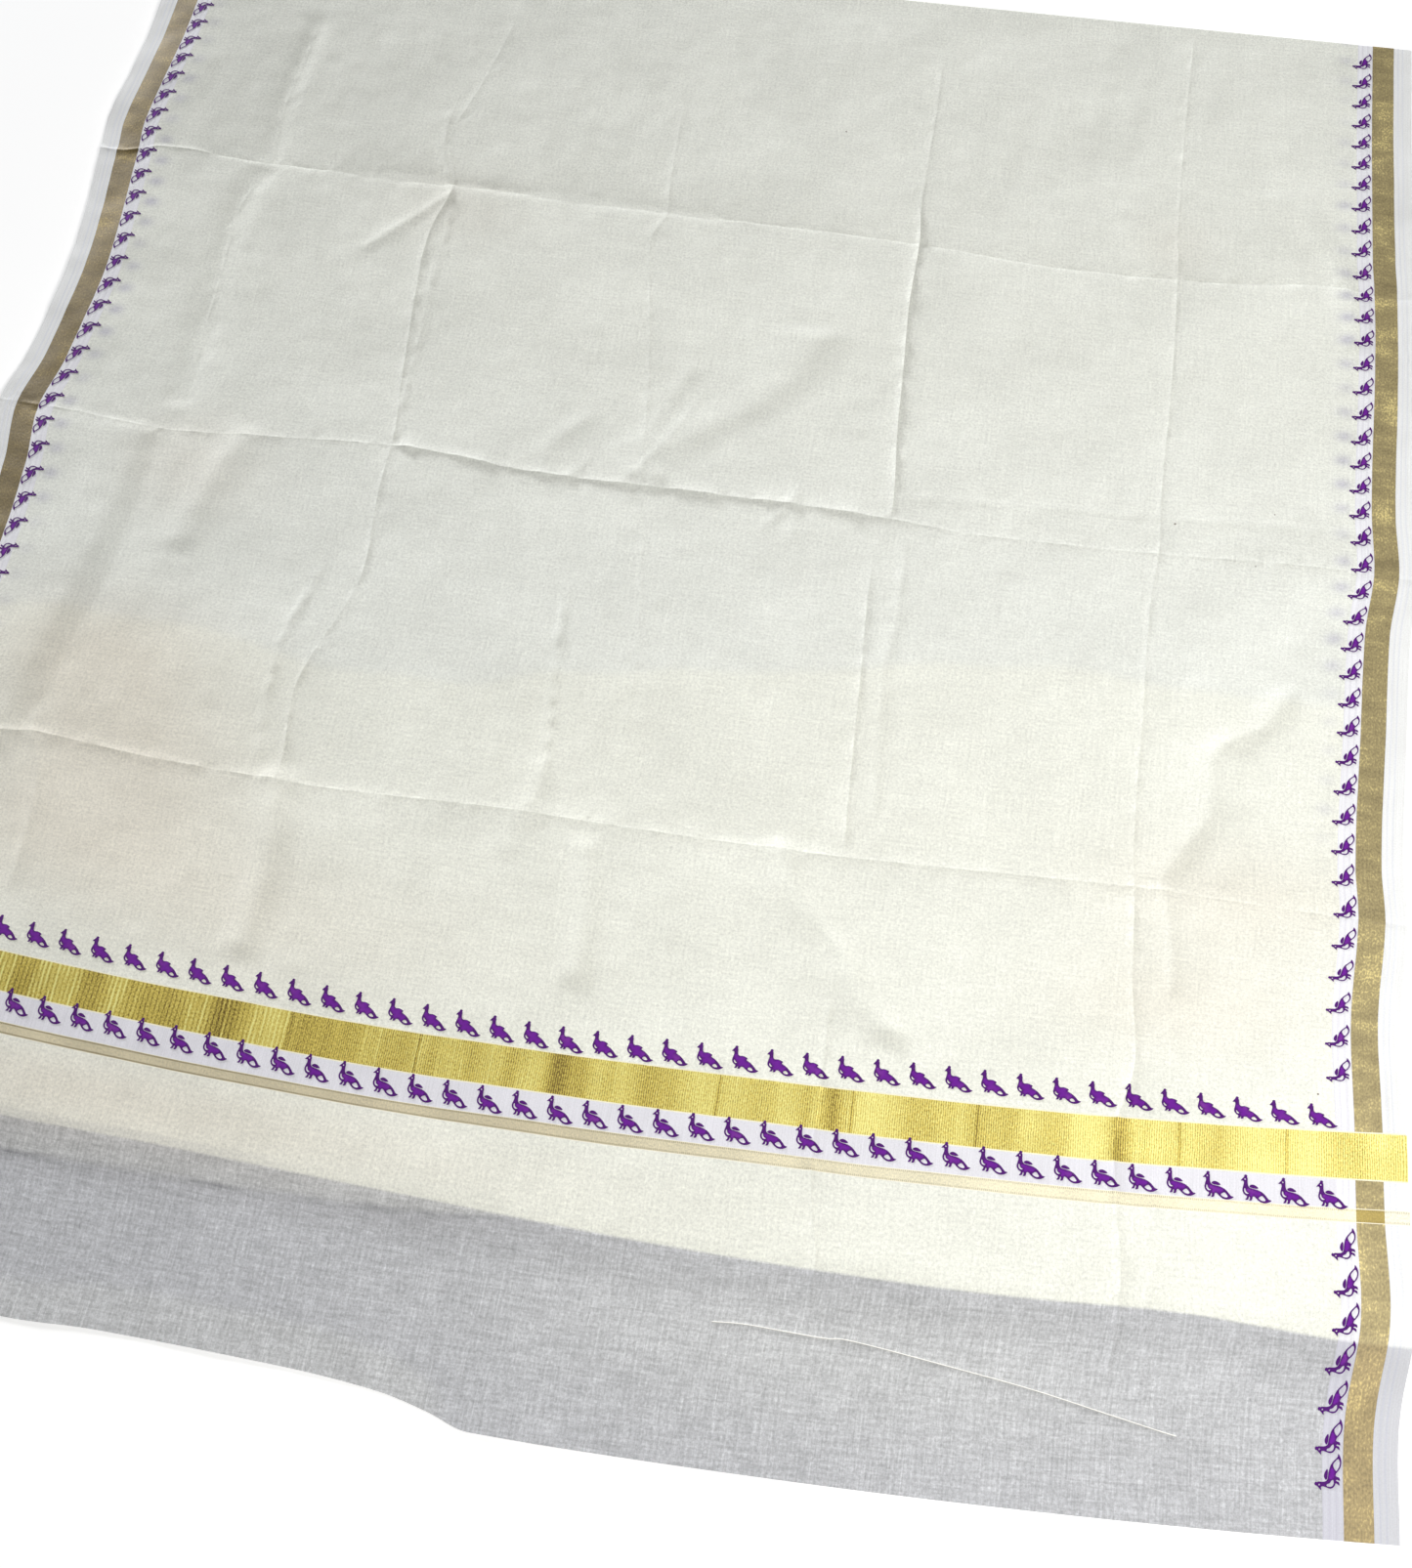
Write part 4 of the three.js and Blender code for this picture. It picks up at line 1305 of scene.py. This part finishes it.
# A printed peacock, facing left, in millimetres from the middle of its ink
peacock = {
    "body": ((-4.7, 10.2), (-5.6, 9.7), (-5.7, 8.8), (-6.5, 7.8), (-7.9, 6.1), (-6.3, 6.2), (-5.8, 5.1),
             (-6.0, 3.8), (-6.4, 2.2), (-6.7, 0.4), (-6.1, -1.4), (-4.7, -2.6), (-3.8, -3.0),
             (-4.1, -4.1), (-4.8, -5.3), (-3.2, -5.1), (-2.7, -3.8), (-2.3, -3.2), (-1.9, -4.1),
             (-2.4, -5.6), (-0.8, -5.3), (-0.4, -3.8), (0.1, -3.0), (1.3, -3.4), (2.7, -4.8),
             (4.7, -6.1), (7.1, -6.6), (9.5, -6.1), (11.5, -4.7), (9.8, -4.3), (8.5, -2.9),
             (6.9, -1.2), (5.1, 0.1), (3.1, 0.9), (1.1, 1.4), (-0.6, 1.7), (-2.1, 2.1), (-3.0, 3.1),
             (-3.4, 4.5), (-3.5, 6.2), (-3.5, 7.7), (-3.9, 8.7), (-3.7, 9.6)),
    "filledBody": ((-4.7, 10.1), (-5.6, 9.6), (-5.7, 8.8), (-6.5, 7.8), (-7.6, 6.2), (-6.2, 6.2),
                   (-5.8, 5.1), (-6.0, 3.8), (-6.4, 2.2), (-6.7, 0.4), (-6.1, -1.3), (-4.8, -2.4),
                   (-4.1, -2.9), (-4.2, -3.8), (-4.7, -4.8), (-3.2, -4.6), (-2.7, -3.6),
                   (-2.3, -3.7), (-2.5, -5.0), (-1.0, -4.8), (-0.5, -3.6), (1.1, -3.6),
                   (2.7, -4.8), (4.7, -6.1), (7.1, -6.6), (9.5, -6.1), (11.4, -4.7), (9.8, -4.3),
                   (8.5, -2.9), (6.9, -1.3), (5.1, 0.0), (3.5, 0.8), (2.6, 1.5), (3.3, 2.5),
                   (1.5, 3.4), (-0.3, 3.8), (-1.9, 3.6), (-3.0, 4.2), (-3.4, 5.3), (-3.5, 6.5),
                   (-3.5, 7.7), (-3.9, 8.7), (-3.7, 9.5)),
    "tailEye": ((3.4, -3.8), (4.5, -2.8), (5.7, -2.4), (6.7, -3.2), (7.8, -4.8), (6.7, -5.4),
                (5.1, -5.1), (4.0, -4.5)),
    "smallTailEye": ((4.1, -4.2), (5.1, -3.3), (6.3, -3.4), (7.6, -4.9), (6.3, -5.3), (4.9, -5.0)),
    "wideTailEye": ((2.5, -3.4), (3.9, -2.0), (5.7, -1.5), (7.3, -2.8), (8.8, -4.6), (7.1, -5.7),
                    (5.1, -5.4), (3.5, -4.4)),
    "breastLight": ((-5.5, 1.6), (-4.9, 1.4), (-4.6, 0.2), (-3.8, -0.8), (-2.6, -1.3), (-3.7, -1.7),
                    (-4.9, -1.2), (-5.6, 0.0)),
    "smallBreastLight": ((-5.4, 0.6), (-4.8, 0.2), (-4.2, -0.6), (-3.3, -1.2), (-4.4, -1.5),
                         (-5.3, -0.6)),
    "wideBreastLight": ((-5.6, 2.6), (-4.6, 2.4), (-4.0, 0.8), (-2.8, -0.2), (-2.1, -1.4),
                        (-3.5, -1.8), (-4.9, -1.3), (-5.7, 0.0)),
    "headLight": ((-5.5, 7.6), (-4.9, 7.7), (-4.6, 7.0), (-5.3, 6.8)),
    "wing": ((-2.4, 2.8), (-1.6, 3.9), (-0.1, 4.2), (1.6, 3.6), (3.3, 2.2), (1.8, 1.75), (0.3, 1.9),
             (-1.1, 2.1)),
}
peacockForms = {
    "filled": (("filledBody", ("smallTailEye", "smallBreastLight")),),
    "open": (("body", ("tailEye", "breastLight", "headLight")), ("wing", ())),
    "outlined": (("body", ("wideTailEye", "wideBreastLight", "headLight")), ("wing", ())),
}
printLook = {
    "lift": 0.00025,
    "reach": 0.0011,  # how far round each point the cloth's highest place is sought
    "thickness": 0.00008,
    "outlineSteps": 2,
    "longestEdge": 0.0030,
    "upper": {"start": 0.1697, "pitch": 0.02495, "count": 38},
    "lower": {"start": 0.1712, "pitch": 0.02507, "count": 38},
    "before": 7,  # prints past the left of the photo
    "rowScale": (1.07, 1.10),  # along its length and its height
    "sideScale": (1.05, 1.0),
}


def smoothOutline(points, steps):
    # A closed curve through the points
    points = np.array(points)
    before, after, beyond = np.roll(points, 1, 0), np.roll(points, -1, 0), np.roll(points, -2, 0)
    curve = []
    for number in range(len(points)):
        for step in range(steps):
            t = step / steps
            p0, p1, p2, p3 = before[number], points[number], after[number], beyond[number]
            curve.append(0.5 * (2 * p1 + (p2 - p0) * t + (2 * p0 - 5 * p1 + 4 * p2 - p3) * t ** 2
                                + (3 * p1 - p0 - 3 * p2 + p3) * t ** 3))
    return np.array(curve) / 1000


def makeMotif(form, look):
    # One flat print: its points, its faces and how near each point is to its edge
    shape = bmesh.new()
    for outline, holes in peacockForms[form]:
        edges = []
        for ring in (outline,) + holes:
            spots = [shape.verts.new((x, y, 0)) for x, y in smoothOutline(peacock[ring],
                                                                          look["outlineSteps"])]
            edges += [shape.edges.new((a, b)) for a, b in zip(spots, spots[1:] + spots[:1])]
        bmesh.ops.triangle_fill(shape, use_beauty=True, edges=edges, normal=(0, 0, 1))
    inside = [edge for edge in shape.edges
              if not edge.is_boundary and edge.calc_length() > look["longestEdge"]]
    bmesh.ops.subdivide_edges(shape, edges=inside, cuts=1)
    bmesh.ops.triangulate(shape, faces=shape.faces[:])
    for face in shape.faces:
        face.normal_update()
        if face.normal.z < 0:
            face.normal_flip()
    shape.verts.index_update()
    points = np.array([tuple(vert.co)[:2] for vert in shape.verts])
    faces = np.array([[vert.index for vert in face.verts] for face in shape.faces])
    edge = np.array([1.0 if vert.is_boundary else 0.0 for vert in shape.verts])
    shape.free()
    return points, faces, edge


def makePrints(name, form, places, turn, scale, look):
    points, faces, edge = makeMotif(form, look)
    angle = math.radians(turn)
    points = points * np.array(scale)
    turned = np.column_stack([points[:, 0] * math.cos(angle) - points[:, 1] * math.sin(angle),
                              points[:, 0] * math.sin(angle) + points[:, 1] * math.cos(angle)])
    across = np.concatenate([place[0] + turned[:, 0] for place in places])
    along = np.concatenate([place[1] + turned[:, 1] for place in places])
    allFaces = np.concatenate([faces + number * len(points) for number in range(len(places))])
    x, y, z = clothPoint(across, along)
    reach = look["reach"]
    for sideways, ahead in ((reach, 0), (-reach, 0), (0, reach), (0, -reach)):
        z = np.maximum(z, clothHeight(across + sideways, along + ahead))
    spots = np.column_stack([x, y, z + look["lift"]])
    piece = addMesh(name, spots.tolist(), allFaces.tolist(), "purple_ink")
    addClothUv(piece.data, across, along)
    addTone(piece.data, "inkEdge", np.tile(edge, len(places)))
    giveThickness(piece, look["thickness"])
    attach(piece, "root")
    print(name, len(places), "prints", len(faces), "faces each")
    return piece


# Where the side prints lie, as plan places along the cloth
sidePrints = {
    "rightTop": 1.267,
    "rightCount": 40,
    "rightNear": (0.187, 0.1624, 0.1378, 0.1132, 0.0886, 0.064, 0.0425),
    "leftMiddle": 1.0097,
    "leftCount": 30,
    "leftPitch": 0.0251,
    "leftFarCount": 11,
    "leftFarPitch": 0.0224,
    "rightIn": 0.0421,
    "leftIn": 0.0416,
    "rightShift": -0.0028,
    "leftShift": 0.0018,
}


def rowSpots(name, look):
    row = look[name]
    numbers = np.arange(-look["before"], row["count"])
    across = row["start"] + numbers * row["pitch"]
    across = across + readTable(rowPlaces, name + "Aside", across)
    along = readTable(rowPlaces, name, across)
    return [(spot, far) for spot, far in zip(across, along) if spot > cloth["fieldStart"]]


def sideSpots(inward, heights, shift):
    places = []
    for y in heights:
        _, along = placeOnCloth(np.array([inward]), np.array([y + shift]))
        places.append((inward, float(along[0])))
    return places


rightHeights = [sidePrints["rightTop"] - number * printPitch
                for number in range(sidePrints["rightCount"])]
rightHeights += list(sidePrints["rightNear"])
leftHeights = [sidePrints["leftMiddle"] + 0.003 + number * sidePrints["leftFarPitch"]
               for number in range(1, sidePrints["leftFarCount"] + 1)]
leftHeights += [sidePrints["leftMiddle"] - number * sidePrints["leftPitch"]
                for number in range(sidePrints["leftCount"])]
leftHeights += list(sidePrints["rightNear"])
rightSpots = sideSpots(width - sidePrints["rightIn"], rightHeights, sidePrints["rightShift"])
leftSpots = sideSpots(sidePrints["leftIn"], leftHeights, sidePrints["leftShift"])
makePrints("prints_right", "outlined", rightSpots, 90, printLook["sideScale"], printLook)
makePrints("prints_left", "outlined", leftSpots, -90, printLook["sideScale"], printLook)
makePrints("prints_upper_row", "filled", rowSpots("upper", printLook), 0, printLook["rowScale"],
           printLook)
makePrints("prints_lower_row", "open", rowSpots("lower", printLook), 0, printLook["rowScale"],
           printLook)

# A loose white thread that lies on the flap
looseThread = {
    "radius": 0.0004,
    "route": ((0.700, 0.0735), (0.724, 0.075), (0.772, 0.074), (0.791, 0.075), (0.843, 0.070),
              (0.906, 0.063), (0.957, 0.055), (0.994, 0.049), (1.003, 0.0478)),
}


def makeLooseThread(look):
    points = np.array(look["route"])
    across, along = placeOnCloth(points[:, 0], points[:, 1])
    steps = np.linspace(0, 1, 90)
    spots = np.linspace(0, 1, len(points))
    across = readTable({"at": spots, "line": across}, "line", steps)
    along = readTable({"at": spots, "line": along}, "line", steps)
    x, y, z = clothPoint(across, along)
    curve = bpy.data.curves.new("loose_thread", "CURVE")
    curve.dimensions = "3D"
    curve.bevel_depth = look["radius"]
    curve.bevel_resolution = 1
    curve.use_fill_caps = True
    spline = curve.splines.new("POLY")
    spline.points.add(len(steps) - 1)
    for point, spot in zip(spline.points, zip(x, y, z + look["radius"])):
        point.co = (*spot, 1.0)
    piece = bpy.data.objects.new("loose_thread", curve)
    scene.collection.objects.link(piece)
    curve.materials.append(materials["hidden_cotton"])
    deselectAll()
    piece.select_set(True)
    bpy.context.view_layer.objects.active = piece
    bpy.ops.object.convert(target="MESH")
    piece = bpy.context.object
    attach(piece, "root")


makeLooseThread(looseThread)
print("prints and thread made")


def declareSheets():
    for name, flat in flatSizes.items():
        if name == "narrow_gold_band":
            continue


declareSheets()

# A plain pale floor, a pale room and two soft lights
floorLook = {"size": 9.0, "drop": 0.0002, "tone": colour(250, 250, 250), "glow": 0.25}
roomLook = {"tone": (0.96, 0.98, 1.0, 1.0), "strength": 0.20}
lights = (
    {"name": "near_lamp", "place": (1.0, -0.7, 1.6), "aim": (0.6, -0.3, 0), "size": 0.7,
     "power": 28.0, "tone": (1.0, 0.985, 0.95)},
    {"name": "raking_lamp", "place": (-5.8, 7.2, 1.84), "aim": (0.1, 0.0, 0), "size": 2.1,
     "power": 1115.0, "tone": (0.98, 0.985, 1.0)},
)


def makeFloor(look):
    deselectAll()
    bpy.ops.mesh.primitive_plane_add(size=look["size"], location=(0, 0, 0))
    floor = bpy.context.object
    floor.name = "floor"
    for vert in floor.data.vertices:
        vert.co.z = -look["drop"]
    material, tree, shader = startMaterial("floor_white")
    node = tree.nodes.new("ShaderNodeTexCoord")
    grain = noise(tree, node.outputs["Object"], 3.0, 3.0)
    tone = vary(tree, look["tone"], grain, 0.985, 1.0)
    feed(tree, shader.inputs["Base Color"], tone)
    shader.inputs["Roughness"].default_value = 0.9
    shader.inputs["Emission Color"].default_value = (1, 1, 1, 1)
    shader.inputs["Emission Strength"].default_value = look["glow"]
    floor.data.materials.append(material)


def makeLights():
    world = bpy.data.worlds.new("pale_room")
    scene.world = world
    world.use_nodes = True
    background = world.node_tree.nodes["Background"]
    background.inputs["Color"].default_value = roomLook["tone"]
    background.inputs["Strength"].default_value = roomLook["strength"]
    for lamp in lights:
        aim = Vector(lamp["aim"]) - Vector(lamp["place"])
        turn = aim.to_track_quat("-Z", "Y").to_euler()
        bpy.ops.object.light_add(type="AREA", location=lamp["place"], rotation=turn)
        light = bpy.context.object
        light.name = lamp["name"]
        light.data.size = lamp["size"]
        light.data.energy = lamp["power"]
        light.data.color = lamp["tone"]


makeFloor(floorLook)
makeLights()
scene.view_settings.view_transform = "Standard"
print("floor and lights placed")
